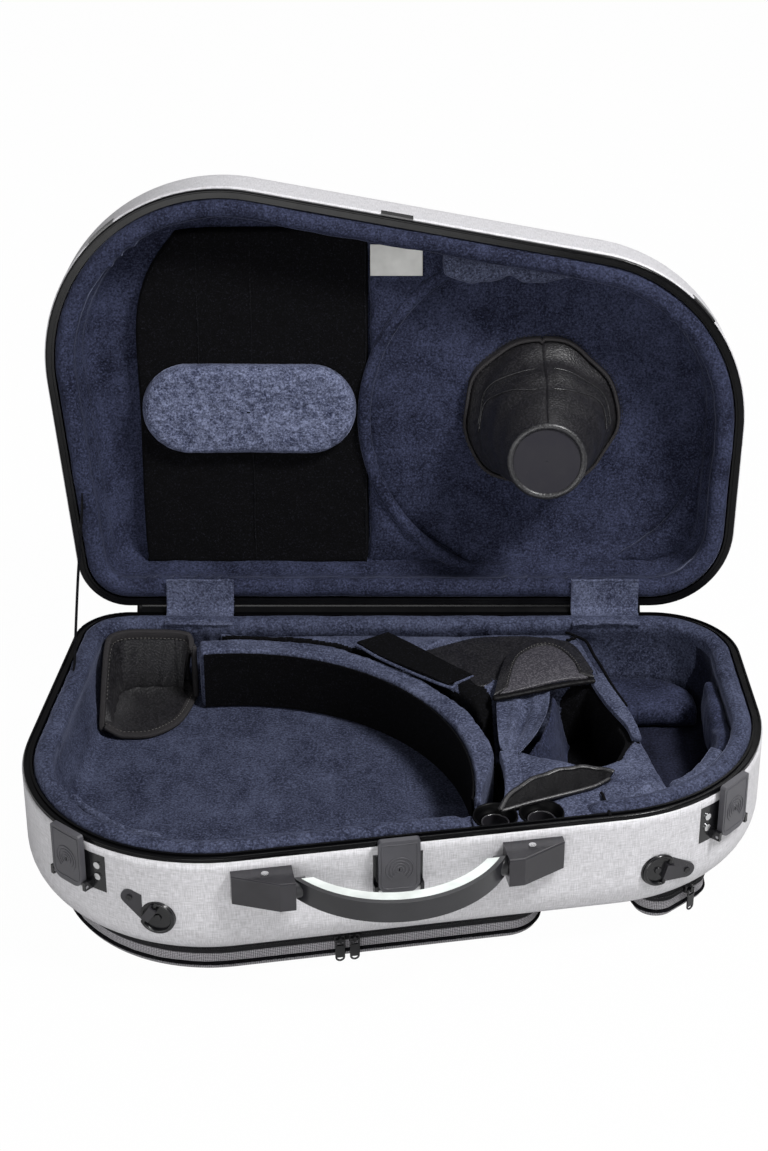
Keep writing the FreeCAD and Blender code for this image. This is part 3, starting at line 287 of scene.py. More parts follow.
def dress(shape, material, body, stands, solid=0.0):
    # gives a new mesh its material, its wall and its body
    shape.data.materials.clear()
    shape.data.materials.append(material)
    if solid:
        wall = shape.modifiers.new("wall", "SOLIDIFY")
        wall.thickness, wall.offset = solid, -1
    if body:
        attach(shape, body)
    if stands:
        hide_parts(stands)
    return shape


def welded(shape):
    # merges vertices that lie in one place, as at a patch's middle
    form = bmesh.new()
    form.from_mesh(shape.data)
    bmesh.ops.remove_doubles(form, verts=form.verts, dist=0.000001)
    form.to_mesh(shape.data)
    form.free()


def pointsOf(mesh, kind="vertices", field="co"):
    values = np.empty(len(getattr(mesh, kind)) * 3, np.float32)
    getattr(mesh, kind).foreach_get(field, values)
    return values.reshape(-1, 3).astype(float)


def setPoints(mesh, points):
    mesh.vertices.foreach_set("co", points.astype(np.float32).ravel())


def evaluated(shape):
    return shape.evaluated_get(bpy.context.evaluated_depsgraph_get())


def baked(shape):
    # the object keeps the mesh that its modifiers make
    made = bpy.data.meshes.new_from_object(evaluated(shape))
    shape.modifiers.clear()
    shape.data = made


def softened(node, name, cap, voxel=0.0045, relax=4, hold=None):
    # a foam solid copied, remeshed, blown up as cloth for 20 frames, held to a cap, and subdivided once
    shape = bpy.data.objects.new(name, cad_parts[node].data.copy())
    scene.collection.objects.link(shape)
    shape.modifiers.new("weld", "WELD").merge_threshold = 0.00005
    remesh = shape.modifiers.new("voxels", "REMESH")
    remesh.mode, remesh.voxel_size = "VOXEL", voxel
    smooth = shape.modifiers.new("relax", "SMOOTH")
    smooth.factor, smooth.iterations = 0.5, relax
    baked(shape)
    start = pointsOf(shape.data)
    cloth = shape.modifiers.new("cloth", "CLOTH").settings
    cloth.use_pressure, cloth.uniform_pressure_force = True, 4.0
    cloth.effector_weights.gravity = 0
    for number in range(1, 21):
        scene.frame_set(number)
    move = pointsOf(evaluated(shape).to_mesh()) - start
    shape.modifiers.clear()
    length = np.linalg.norm(move, axis=1)[:, None] + 1e-9
    limit = cap * (hold(start)[:, None] if hold else 1.0)
    # capped move = limit * tanh(length / limit) in the same direction
    setPoints(shape.data, start + move / length * limit * np.tanh(length / (limit + 1e-9)))
    scene.frame_set(1)
    smoother = shape.modifiers.new("subdivision", "SUBSURF")
    smoother.levels = smoother.render_levels = 1
    baked(shape)
    shape.data.polygons.foreach_set("use_smooth", np.ones(len(shape.data.polygons), bool))
    return shape


def padOf(node, name, material, body, fill, rule, **how):
    # a puffed pad that stands for one foam node; its rule moves points by their normals in the closed case's frame
    shape = softened(node, name, **how)
    if body == "lid":
        shape.data.transform(lidPlace.inverted())
    setPoints(shape.data, rule(pointsOf(shape.data), pointsOf(shape.data, "vertex_normals", "vector")))
    if body == "lid":
        shape.data.transform(lidPlace)
    shape.data.update()
    dress(shape, material, body, node)
    return shape


def alongLine(points, line, width):
    # how near each point is in plan to a broken line: 1 on it, falling off over the width
    nearest = np.full(len(points), 9.0)
    for start, stop in zip(line[:-1], line[1:]):
        step, away = stop - start, points[:, :2] - start
        share = np.clip((away @ step) / (step @ step), 0, 1)
        nearest = np.minimum(nearest, np.linalg.norm(away - share[:, None] * step, axis=1))
    return np.exp(-(nearest / width) ** 2)


def inside(points, outline):
    # whether each point lies within the outline in plan (crossing count)
    x, y = points[..., 0], points[..., 1]
    hit = np.zeros(x.shape, bool)
    for (x0, y0), (x1, y1) in zip(outline, np.roll(outline, -1, axis=0)):
        hit ^= ((y0 > y) != (y1 > y)) & (x < (x1 - x0) * (y - y0) / (y1 - y0 + 1e-12) + x0)
    return hit


def curve(points, count, closed=False):
    # a smooth even walk through the points (Catmull-Rom, then spaced evenly)
    points = np.array(points, float)
    ends = (points[-1:], points[:2]) if closed else (2 * points[:1] - points[1:2], 2 * points[-1:] - points[-2:-1])
    knots = np.concatenate([ends[0], points, ends[1]])
    t = np.linspace(0, 1, 24, endpoint=False)[:, None]
    runs = [0.5 * (2 * b + (c - a) * t + (2 * a - 5 * b + 4 * c - d) * t ** 2 + (3 * b - a - 3 * c + d) * t ** 3)
            for a, b, c, d in zip(knots[:-3], knots[1:-2], knots[2:-1], knots[3:])]
    walk = np.concatenate(runs + [points[:1] if closed else points[-1:]])
    lengths = walked(walk)
    return sampled(np.linspace(0, lengths[-1], count, endpoint=not closed), lengths, walk)


def frameAlong(path, up, closed=False):
    # directions along a path, beside it and over it
    step = np.roll(path, -1, axis=0) - np.roll(path, 1, axis=0) if closed else np.gradient(path, axis=0)
    along = unit(step)
    side = unit(np.cross(along, np.broadcast_to(np.array(up, float), along.shape)))
    return along, side, np.cross(side, along)


def sweep(path, section, up=(0, 0, 1), closed=False, taper=6):
    # a closed section (side, up) carried along a path, its open ends rounded by shrinking rings; grid, closed, uv
    path = np.array(path, float)
    along, side, over = frameAlong(path, up, closed)
    size, walk = np.ones(len(path)), walked(path)
    if not closed and taper:
        # ring k of the end: size = sqrt(1 - (1 - k / n)^2), set back by the section's half height
        left = 1 - np.linspace(0, 1, taper, endpoint=False)
        shrink = np.sqrt(1 - left ** 2)
        back = left * np.abs(section[:, 1] - section[:, 1].mean()).max()
        path = np.concatenate([path[0] - along[0] * back[:, None], path, path[-1] + along[-1] * back[::-1, None]])
        size = np.concatenate([shrink, size, shrink[::-1]])
        side, over = (np.pad(part, ((taper, taper), (0, 0)), "edge") for part in (side, over))
        walk = np.concatenate([walk[0] - back, walk, walk[-1] + back[::-1]])
    middle = section.mean(0)
    spread = (section - middle)[None] * size[:, None, None] + middle
    grid = path[:, None] + side[:, None] * spread[..., :1] + over[:, None] * spread[..., 1:]
    uv = np.stack(np.broadcast_arrays(walk[:, None], walked(section)[None]), 2)
    if closed:
        # the path closes in the columns, so the section's first row comes again at the end
        grid, uv = np.swapaxes(grid, 0, 1), np.swapaxes(uv, 0, 1)
        return np.concatenate([grid, grid[:1]]), True, np.concatenate([uv, uv[:1]])
    return grid, True, uv


def ovalRing(wide, high, count=14, squareness=2.0, middle=(0.0, 0.0)):
    # |x / a|^n + |y / b|^n = 1
    turn = onCircle(fullTurn(count))
    return np.sign(turn) * np.abs(turn) ** (2.0 / squareness) * (wide, high) / 2 + middle


def cord(path, wide, high=None, count=12, squareness=2.0, **how):
    return sweep(path, ovalRing(wide, high or wide, count, squareness), **how)


def pillow(outline, low, high, edge, count=16, crown=0.0, seed=1, dent=0.0004, surface=None):
    # a closed slab over a plan outline: rounded edge, crowned top, flat underside; surface adds a height by plan place
    middle = outline.mean(0)
    inward = unit(middle - outline) * edge
    bend, shares = np.linspace(0, math.pi / 2, 6)[:, None], np.linspace(1, 0.02, count)[1:]
    # crown height = crown * (1 - share^2)
    grid = np.concatenate([
        raised(drawnIn(outline, np.linspace(0.02, 0.9, 6)), low),
        raised(outline + inward * (1 - np.cos(bend))[..., None], low + (high - low) * np.sin(bend)),
        raised(drawnIn(outline + inward, shares, middle), high + crown * (1 - shares[:, None] ** 2))])
    grid[..., 2] += ease(grid[..., 2], low, high) * dent * smoothNoise(grid, 0.03, seed)
    if surface:
        grid[..., 2] += surface(grid[..., 0], grid[..., 1])
    return grid, True, None


def strip(first, second, low, high, rows=70, around=36, rise=None, plump=9.0):
    # a soft slab between two plan lines: a squarish closed section across each pair of places, ends drawn to a point
    first, second = curve(first, rows), curve(second, rows)
    section = ovalRing(1.0, 1.0, around, plump, (0.5, 0.0))
    grid = raised(first[:, None] + (second - first)[:, None] * section[None, :, :1],
                  (low + high) / 2 + (high - low) * section[None, :, 1])
    if rise:
        grid[..., 2] += rise(grid[..., 0], grid[..., 1])
    tips = [np.broadcast_to(row.mean(0), row.shape)[None] for row in (grid[0], grid[-1])]
    return np.concatenate([tips[0], grid, tips[1]]), True, None


def stitches(path, up=(0, 0, 1), long=0.0021, pitch=0.0034, thick=0.0007):
    # a row of small rounded threads laid along a path
    places = curve(path, max(int(walked(path)[-1] / pitch), 2))
    turn = fullTurn(6)[None, :, None]
    rows = np.array([-1.0, -0.7, 0.0, 0.7, 1.0])
    lengthwise, swell = (rows * long / 2)[:, None, None], (np.sqrt(1 - rows ** 2 + 1e-6) * thick / 2)[:, None, None]
    return [(place + along * lengthwise + (np.cos(turn) * side + np.sin(turn) * over) * swell, True, None)
            for place, along, side, over in zip(places, *frameAlong(places, up))]


def linenFinish():
    # pale grey woven textile on a moulded shell: fine crossed threads with darker slubs
    cloth = Finish("shellLinen", Roughness=0.42, Coat_Weight=0.25, Coat_Roughness=0.3)
    down, across, fine = (cloth.noise(cloth.where(size, "UV"), 1.0, detail, rough) for size, detail, rough in (
        ((1300, 110, 1), 2, 0.6), ((110, 1300, 1), 2, 0.6), ((2600, 2600, 1), 1, 0.5)))
    threads = cloth.fit(down * 0.5 + across * 0.5, 0.36, 0.64)
    tone = cloth.blend(threads, (0.385, 0.38, 0.397), (0.705, 0.695, 0.728))
    specks = cloth.fit(fine, 0.35, 0.65, 0.0, 0.3)
    return cloth.set(Base_Color=cloth.blend(specks, tone, (0.42, 0.42, 0.42)), Normal=cloth.bump(threads, 0.0002, 0.35))


def plushFinish(name, deep, light, grain=14):
    # velvet pile: brushed patches that change tone, a fine nap and a sheen at the edges of view
    pile = Finish(name, Roughness=0.9, Specular_IOR_Level=0.12, Sheen_Weight=0.26, Sheen_Roughness=0.3,
                  Sheen_Tint=(0.5, 0.55, 0.8))
    where = pile.where()
    nap = pile.noise(where, 560, 2, 0.75)
    brushed = pile.noise(where, grain, 4, 0.6, 1.2)
    streaks = pile.noise(pile.where((60, 25, 40)), 1.0, 3, 0.6, 0.6)
    rows = pile.noise(pile.where((230, 620, 620)), 1.0, 2, 0.6)
    colour = pile.blend(pile.fit(brushed * 0.45 + streaks * 0.25 + rows * 0.3, 0.36, 0.64), deep, light)
    colour = pile.blend(pile.fit(nap, 0.50, 0.68, 0.0, 0.7), colour, tinted(deep, 0.25))
    colour = pile.blend(pile.fit(nap, 0.48, 0.34, 0.0, 0.5), colour, tinted(light, 1.7))
    return pile.set(Base_Color=colour, Normal=pile.bump(brushed, 0.004, 0.25, pile.bump(nap, 0.0006, 0.5)))


def loopFinish(name, deep, light):
    # black brushed loop fabric: a matt nap with faint grey fibres
    nap = Finish(name, Roughness=0.95, Specular_IOR_Level=0.12)
    where = nap.where()
    curls = nap.noise(where, 700, 3, 0.7)
    return nap.set(Base_Color=nap.blend(nap.fit(curls, 0.55, 0.70), deep, light),
                   Normal=nap.bump(nap.cells(where, 900) + curls, 0.0007, 0.6))


def leatherFinish(name, deep, light, coat=0.3, **others):
    # pebbled leather: cells with creases between them, and a satin sheen
    hide = Finish(name, Coat_Weight=coat, Coat_Roughness=0.28, **others)
    where = hide.where()
    pebbles = hide.cells(where, 620, "SMOOTH_F1")
    coarse = hide.noise(where, 60, 3, 0.6)
    return hide.set(Base_Color=hide.blend(hide.fit(pebbles, 0.05, 0.5), light, deep),
                    Roughness=hide.fit(coarse, 0.3, 0.7, 0.42, 0.58),
                    Normal=hide.bump(hide.fit(pebbles, 0.0, 0.6) + coarse * 0.4, 0.0005, 0.6))


def tapeFinish(name, deep, light):
    # dark grosgrain tape: ribs across its length
    tape = Finish(name, Roughness=0.75, Specular_IOR_Level=0.2)
    ribs = tape.bands("X", 350.0, 0.3)
    return tape.set(Base_Color=tape.blend(ribs, deep, light), Normal=tape.bump(ribs, 0.0004, 0.7))


def mouldedFinish(name, colour, rough, coat=0.0, grain=0.2, **others):
    # moulded or painted surface with a faint texture and uneven gloss
    skin = Finish(name, Coat_Weight=coat, Coat_Roughness=0.12, **others)
    where = skin.where()
    smear = skin.noise(where, 35, 3, 0.6)
    return skin.set(Base_Color=skin.blend(skin.fit(smear, 0.35, 0.7), tinted(colour, 0.85), tinted(colour, 1.12)),
                    Roughness=skin.fit(smear, 0.3, 0.7, rough * 0.85, rough * 1.15),
                    Normal=skin.bump(skin.noise(where, 1400, 2, 0.5), 0.0001, grain))


def metalFinish(name, colour, rough):
    # plated or bare metal with fine drawn lines
    metal = Finish(name, Metallic=1.0)
    lines = metal.noise(metal.where((40, 1500, 1500)), 1.0, 2, 0.6)
    return metal.set(Base_Color=metal.blend(metal.fit(lines, 0.3, 0.7), tinted(colour, 0.8), colour),
                     Roughness=metal.fit(lines, 0.3, 0.7, rough * 0.8, rough * 1.3))


def tweedFinish():
    # dark grey tweed: a basket of light and dark yarns with flecks
    cloth = Finish("pocketTweed", Roughness=0.9, Sheen_Weight=0.15)
    warp, weft = (cloth.bands(direction, 210.0, 1.5, 3.0) for direction in "XY")
    weave = warp * 0.5 + weft * 0.5
    flecks = cloth.noise(cloth.where((900, 900, 1), "UV"), 1.0, 3, 0.7)
    tone = cloth.fit(weave * 0.6 + flecks * 0.5, 0.35, 0.8)
    return cloth.set(Base_Color=cloth.blend(tone, (0.045, 0.043, 0.049), (0.50, 0.485, 0.515)),
                     Normal=cloth.bump(weave, 0.0006, 0.6))


linen = linenFinish()
navyPlush = plushFinish("plushNavy", (0.005, 0.006, 0.015), (0.036, 0.042, 0.080))
basePlush = plushFinish("plushNavyBase", (0.010, 0.012, 0.026), (0.062, 0.071, 0.118))
# a darker copy of the navy plush: painted shade for the right compartment
shadePlush = plushFinish("plushNavyPaintedShade", (0.0025, 0.003, 0.008), (0.014, 0.016, 0.032))
# a paler copy of the navy plush: painted light on the lit pads, rolls, seams and edges
palePlush = plushFinish("plushNavyPaintedLight", (0.015, 0.018, 0.038), (0.092, 0.104, 0.163))
ovalPlush = plushFinish("plushNavyCrushed", (0.016, 0.020, 0.046), (0.150, 0.168, 0.255), 170)
# black loop fabric, also used as painted shade in the well and the channel
loopBlackAndPaintedShade = loopFinish("loopBlackAndPaintedShade", (0.0005, 0.0005, 0.0009), (0.011, 0.011, 0.016))
loopSheen = loopFinish("loopSheen", (0.002, 0.002, 0.003), (0.02, 0.02, 0.025))
leatherBlack = leatherFinish("leatherBlack", (0.005, 0.0047, 0.0058), (0.024, 0.0225, 0.0265))
# a darker, matt copy of the black leather: painted shade on the leaf flap and the roll under the moon flap
leatherShade = leatherFinish("leatherMattPaintedShade", (0.0022, 0.0021, 0.0026), (0.009, 0.0085, 0.010), 0.0,
                             Specular_IOR_Level=0.12)
# a paler copy of the black leather: painted highlight on the moon flap's face
leatherPale = leatherFinish("leatherPaintedHighlight", (0.034, 0.032, 0.039), (0.105, 0.099, 0.114))
leatherGloss = leatherFinish("leatherPiping", (0.006, 0.006, 0.0075), (0.03, 0.029, 0.034), 0.4)
threadGrey = mouldedFinish("threadGrey", (0.10, 0.095, 0.09), 0.7)
threadBlack = mouldedFinish("threadBlack", (0.012, 0.012, 0.014), 0.6)
discGrey = mouldedFinish("discGrey", (0.010, 0.009, 0.015), 0.75)
dishBlack = mouldedFinish("dishBlack", (0.001, 0.001, 0.0013), 0.4, Specular_IOR_Level=0.08)
bindingTape = tapeFinish("bindingTape", (0.008, 0.0075, 0.009), (0.045, 0.042, 0.044))
tweed = tweedFinish()
tapeRibbed = tapeFinish("zipTape", (0.0035, 0.0035, 0.004), (0.020, 0.020, 0.023))
rimBlack = mouldedFinish("rimBlack", (0.0025, 0.0025, 0.003), 0.2, Specular_IOR_Level=0.15)
glossBlack = mouldedFinish("mouldedGlossBlack", (0.022, 0.021, 0.025), 0.22, 0.1)
charcoal = mouldedFinish("mouldedCharcoal", (0.058, 0.057, 0.066), 0.42, 0.1, 0.35)
gripCharcoal = mouldedFinish("gripCharcoal", (0.018, 0.018, 0.021), 0.34, 0.15, 0.3)
linerGrey = mouldedFinish("linerGreyGreen", (0.66, 0.70, 0.68), 0.55, 0.0, 0.3)
metalBlack = mouldedFinish("paintedMetalBlack", (0.006, 0.006, 0.0072), 0.24, 0.1)
footRubber = mouldedFinish("footRubber", (0.02, 0.02, 0.02), 0.75)
tagWhite = mouldedFinish("tagCloth", (0.62, 0.62, 0.6), 0.8)
steel = metalFinish("plainSteel", (0.55, 0.55, 0.56), 0.32)
screwBright = metalFinish("screwBright", (0.78, 0.78, 0.79), 0.2)

# the CAD nodes that stay in view are black painted metal apart from these; pieces below stand for the others
nodeFinishes = {
    "base_rim": rimBlack, "lid_rim": rimBlack, "mouthpiece_cups": glossBlack, "handle_brackets": glossBlack,
    "ring_plates": glossBlack, "hinge_pins": steel, "latch_pins": steel, "handle_pins": steel,
    "latch_lever_left": charcoal, "latch_lever_centre": charcoal, "latch_lever_right": charcoal,
    "handle_grip": gripCharcoal, "handle_liner": linerGrey, "base_feet": footRubber, "lid_feet": footRubber,
    "latch_and_bracket_screws": screwBright,
}
for nodeName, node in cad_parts.items():
    node.data.materials.clear()
    node.data.materials.append(nodeFinishes.get(nodeName, metalBlack))
print("finishes made")


view = {"elevation": 28.8175, "place": (-0.0051, -1.6647, 1.1888), "lens": 73.39, "shift": -0.00579}
camera = bpy.data.objects.new("camera", bpy.data.cameras.new("camera"))
scene.collection.objects.link(camera)
camera.data.lens, camera.data.sensor_width, camera.data.shift_x = view["lens"], 36, view["shift"]
camera.data.clip_start, camera.data.clip_end = 0.05, 60
camera.location = view["place"]
camera.rotation_euler = (math.radians(90 - view["elevation"]), 0, 0)
scene.camera = camera


def whiteToCamera(tree, shader, share):
    # the shader, mixed towards plain white light where the camera looks at it
    straight, through = (addNode(tree, "LightPath", out=ray) for ray in ("Is Camera Ray", "Is Transmission Ray"))
    part = addNode(tree, "Math", {"operation": "MAXIMUM"}, {0: straight, 1: through}) * share
    white = addNode(tree, "Emission", None, {"Strength": 1.0})
    return addNode(tree, "MixShader", None, {0: part, 1: Wire(tree, shader), 2: white})


stageSizes = {"floorHalf": 7.0, "whiteShare": 0.985, "ambient": 0.17}
half = stageSizes["floorHalf"]
floorMesh = bpy.data.meshes.new("floor")
floorMesh.from_pydata([(-half, -half, 0), (half, -half, 0), (half, half, 0), (-half, half, 0)], [], [(0, 1, 2, 3)])
floor = bpy.data.objects.new("floor", floorMesh)
scene.collection.objects.link(floor)
pale = Finish("paleFloor", Base_Color=(0.5, 0.5, 0.5), Roughness=0.9)
floorLooks = whiteToCamera(pale.tree, pale.shader.outputs[0], stageSizes["whiteShare"])
feed(pale.tree.nodes["Material Output"].inputs[0], floorLooks)
floor.data.materials.append(pale.material)
world = bpy.data.worlds.new("studio")
scene.world = world
world.use_nodes = True
sky = world.node_tree.nodes["Background"]
sky.inputs["Color"].default_value, sky.inputs["Strength"].default_value = (1, 1, 1, 1), stageSizes["ambient"]
feed(world.node_tree.nodes["World Output"].inputs[0], whiteToCamera(world.node_tree, sky.outputs[0], 1.0))

# square area lamps: place, the point they look at, size and power
lamps = {
    "keyLamp": ((1.35, -0.80, 2.40), (0, 0.05, 0.15), 0.55, 88),
    "fillLamp": ((-1.9, -1.6, 0.9), (0, 0, 0.12), 1.8, 15),
    "frontLamp": ((-0.3, -2.6, 0.55), (0, 0, 0.08), 1.1, 22),
    "topLamp": ((0.4, 1.6, 2.2), (0, 0.25, 0.45), 1.4, 22),
}
for name, (place, aim, size, power) in lamps.items():
    lamp = bpy.data.objects.new(name, bpy.data.lights.new(name, "AREA"))
    scene.collection.objects.link(lamp)
    lamp.data.size, lamp.data.energy = size, power
    lamp.location = place
    lamp.rotation_euler = (Vector(aim) - Vector(place)).to_track_quat("-Z", "Y").to_euler()
scene.view_settings.view_transform = "Standard"
print("stage set")


shell = {"columns": 420, "inset": 0.002, "under": 0.004, "round": 0.035, "wall": 0.003}


def shellGrid(low, high):
    # down the wall, round the far edge, and in to the middle
    sign = 1 if high > low else -1
    corner, bend = shell["round"], np.linspace(0, math.pi / 2, 14)[1:]
    depth = np.concatenate([high + (low + sign * corner - high) * np.linspace(0, 1, 10),
                            low + sign * corner * (1 - np.sin(bend))])
    inward = shell["inset"] + np.concatenate([np.zeros(10), corner * (1 - np.cos(bend))])
    grid, uv, _, _ = walled(case["corners"], shell["columns"], inward, depth)
    cover = drawnIn(grid[-1], np.linspace(1, 0, 8))
    return [(grid, True, uv), (cover, True, cover[..., :2])]


lower = shellGrid(case["shellLow"], rimZ - shell["under"])
welded(piece("baseShellSkin", lower, linen, "base", "base_shell", shell["wall"]))
upper = [(grid[:, ::-1], closed, uv[:, ::-1])
         for grid, closed, uv in shellGrid(rimZ + case["lidDepth"], rimZ + shell["under"])]
welded(piece("lidShellSkin", upper, linen, "lid", "lid_shell", shell["wall"]))
print("shells made")


lining = {"columns": 900, "rimGap": 0.0008, "crown": 0.0035, "rollWide": 0.017, "foot": 0.016, "rollRows": 22,
          "wallRows": 15, "lap": 1.65}


def liningProfile(depth):
    # from under the rim: over the round roll, down a slightly bulged wall, round the foot; (inset, depth below the rim)
    turn = np.linspace(0, math.pi, lining["rollRows"])
    roll = np.stack([case["rimWidth"] + lining["rimGap"] + lining["rollWide"] / 2 * (1 - np.cos(turn)),
                     0.006 - (0.006 + lining["crown"]) * np.sin(turn) ** 0.7], 1)
    side = np.linspace(0, 1, lining["wallRows"] + 1)[1:]
    top, foot = roll[-1, 1], depth - lining["foot"]
    wall = np.stack([roll[-1, 0] + 0.003 * side - 0.004 * np.sin(side * math.pi), top + (foot - top) * side], 1)
    turn = np.linspace(0, math.pi / 2, 12)[1:]
    bend = np.stack([wall[-1, 0] + lining["foot"] * (1 - np.cos(turn)), foot + lining["foot"] * np.sin(turn)], 1)
    return np.concatenate([roll, wall, bend])


def liningGrid(depth, sign, pleats, seed):
    # the profile carried round the outline, with gathered pleats at the given lengths, then in to the middle
    ring, normal, walk = hullRing(case["corners"], lining["columns"])
    profile = liningProfile(depth)
    inward, down = profile[:, :1], profile[:, 1:]
    along = np.linspace(0, 1, len(profile))[:, None]
    push = np.zeros((len(profile), len(walk)))
    for centre, count, pitch, deep in pleats:
        for number in range(count):
            place = centre + (number - (count - 1) / 2) * pitch
            wide = pitch * (0.16 + 0.05 * math.sin(3.1 * number + seed))
            lean = 0.01 * math.sin(number * 1.7 + seed)
            gap = (walk[None] - place - lean * along + lining["lap"] / 2) % lining["lap"] - lining["lap"] / 2
            push -= deep * bell(gap, 0, wide) * bell(along, 0.36, 0.22)
    spread = raised(np.broadcast_to(ring, (len(profile), *ring.shape)), down)
    push += 0.0009 * smoothNoise(spread, 0.06, seed)
    inward = inward - push * np.clip(np.arange(len(profile)) / 5, 0, 1)[:, None]
    grid = raised(ring[None] - normal[None] * inward[..., None], rimZ + sign * down)
    shares = np.linspace(1, 0, 60)[1:]
    flat = drawnIn(grid[-1], shares)
    flat[..., 2] -= sign * 0.0007 * smoothNoise(flat, 0.09, seed + 5) * (1 - shares[:, None])
    return np.concatenate([grid, flat])


cups = plan((77.7, -129.8), (114.6, -125.4))
cupSizes = {"hole": 0.0124, "lip": 0.0190, "dip": 0.0072, "under": 0.0785, "bore": 0.0112, "deck": 0.116}


def roundCups(points):
    # the plush dips in a ring round each cup and stands off its wall; what lies inside goes under the cup
    for middle in cups:
        away = points[..., :2] - middle
        reach = np.linalg.norm(away, axis=-1)
        dip = 1 - ease(reach, cupSizes["hole"] + 0.001, cupSizes["lip"])
        points[..., 2] -= cupSizes["dip"] * dip * (points[..., 2] > cupSizes["deck"])
        within = (reach < cupSizes["hole"]) & (points[..., 2] > cupSizes["under"])
        points[..., 2] = np.where(within & (reach < cupSizes["bore"]), cupSizes["under"], points[..., 2])
        points[..., :2] = middle + away * np.where(within, cupSizes["hole"] / (reach + 1e-9), 1.0)[..., None]
    return points


def darkened(shape, material, chosen):
    # the chosen faces of a piece take a second material
    shape.data.materials.append(material)
    shape.data.polygons.foreach_set("material_index", chosen.astype(np.int32))


def facesOf(shape):
    return pointsOf(shape.data, "polygons", "center")


basePleats = [(0.10, 3, 0.016, 0.002), (1.42, 4, 0.015, 0.0025), (1.18, 3, 0.017, 0.002)]
baseGrid = liningGrid(rimZ - case["floorZ"], -1, basePleats, 3)
ring, normal, walk = hullRing(case["corners"], lining["columns"])
rows, onTop, onWall = len(liningProfile(rimZ - case["floorZ"])), lining["rollRows"], lining["wallRows"]
atFoot = rows - onTop - onWall
# at the cups the roll gives way to a flat shelf, level with the centre block
shelfInset = np.concatenate([np.linspace(0.0083, 0.029, onTop), np.linspace(0.029, 0.031, onWall),
                             np.linspace(0.031, 0.042, atFoot)])
shelfZ = np.concatenate([0.1246 - 0.002 * np.clip(1 - np.arange(onTop) / 4, 0, 1) ** 2,
                         np.linspace(0.125, 0.08, onWall), np.linspace(0.079, 0.064, atFoot)])
shelfGrid = raised(ring[None] - normal[None] * shelfInset[:, None, None], shelfZ[:, None])
share = ease(ring[:, 0], 0.048, 0.062) * (1 - ease(ring[:, 0], 0.150, 0.164)) * (ring[:, 1] < -0.1)
baseGrid[:rows] += (shelfGrid - baseGrid[:rows]) * share[None, :, None]
baseGrid[:rows] = roundCups(baseGrid[:rows])
baseLining = piece("basePlushLining", [(baseGrid, True, None)], basePlush, "base", "base_lining",
                   shut=False)
# painted shade: the right compartment's floor and right wall take a darker copy of the plush
middles = facesOf(baseLining)
paintedShadeFloor = inside(middles, plan((176, 118), (270, 118), (266, 20), (225, -60), (188, -90), (160, -90)))
paintedShadeWall = (middles[:, 0] > 0.255) & (middles[:, 1] > -0.06) & (middles[:, 1] < 0.15) & (middles[:, 2] < 0.119)
darkened(baseLining, shadePlush, paintedShadeFloor & (middles[:, 2] < 0.070) | paintedShadeWall)
lidPleats = [(1.45, 6, 0.015, 0.003), (1.12, 5, 0.017, 0.0028), (0.15, 3, 0.02, 0.002), (0.7, 3, 0.02, 0.002)]
lidGrid = liningGrid(case["lidFloor"], 1, lidPleats, 8)[:, ::-1]
piece("lidPlushLining", [(lidGrid, True, None)], navyPlush, "lid", "lid_lining", shut=False)
print("linings made")


# Soft pieces in the base
seat = case["topZ"] + 0.0004
dividerArc = {"middle": (-0.14, -0.07), "inner": 0.2037, "panel": 0.2027, "channel": 0.2345}


def dividerRule(points, normals):
    # a crowned top with slow waves, a pinch at the front seam, and an outer side that comes in at the front end
    top = ease(points[:, 2], 0.112, 0.124)
    away = points[:, :2] - dividerArc["middle"]
    reach = np.linalg.norm(away, axis=1)
    slim = 1 - 0.72 * ease(-points[:, 1], 0.015, 0.088)
    slimmed = dividerArc["inner"] + (reach - dividerArc["inner"]) * slim
    points[:, :2] = dividerArc["middle"] + away * (slimmed / reach)[:, None]
    points += normals * (0.0011 * smoothNoise(points, 0.05, 21) * top)[:, None]
    points[:, 2] += 0.0016 * top * smoothNoise(points, 0.12, 22, 1) - 0.004 * top * bell(points[:, 1], -0.093, 0.010)
    return points


def fromDivider(points):
    return np.hypot(*(points[:, :2] - dividerArc["middle"]).T)


def arcStrip(inner, outer, start, stop, count, low, high, **how):
    # a slab between two arcs round the divider's middle
    turn = np.radians(np.linspace(start, stop, count))
    return strip(*(onCircle(turn, radius, dividerArc["middle"]) for radius in (inner, outer)), low, high, **how)


padOf("curved_divider", "dividerPad", palePlush, "base", 0.8, dividerRule, cap=0.004, voxel=0.004,
      hold=lambda p: 0.08 + ease(fromDivider(p), 0.2055, 0.212) * 0.9)
panelTurn = np.radians(np.linspace(-7.5, 99, 150))
panelPath = raised(onCircle(panelTurn, dividerArc["panel"], dividerArc["middle"]), 0.0935)
panelSection = ovalRing(0.0014, 0.055, 40, 12)
panelSection[:, 0] += 0.0006 * np.sin(panelSection[:, 1] * 160)
piece("dividerLoopPanel", [sweep(panelPath, panelSection, taper=0)], loopBlackAndPaintedShade, "base", "divider_loop_panel")
seamPath = [(0.0633, -0.0985, z) for z in np.linspace(0.068, 0.123, 9)]
piece("dividerEndSeam", [cord(curve(seamPath, 30), 0.0022, count=10, up=(0, 1, 0))], palePlush)


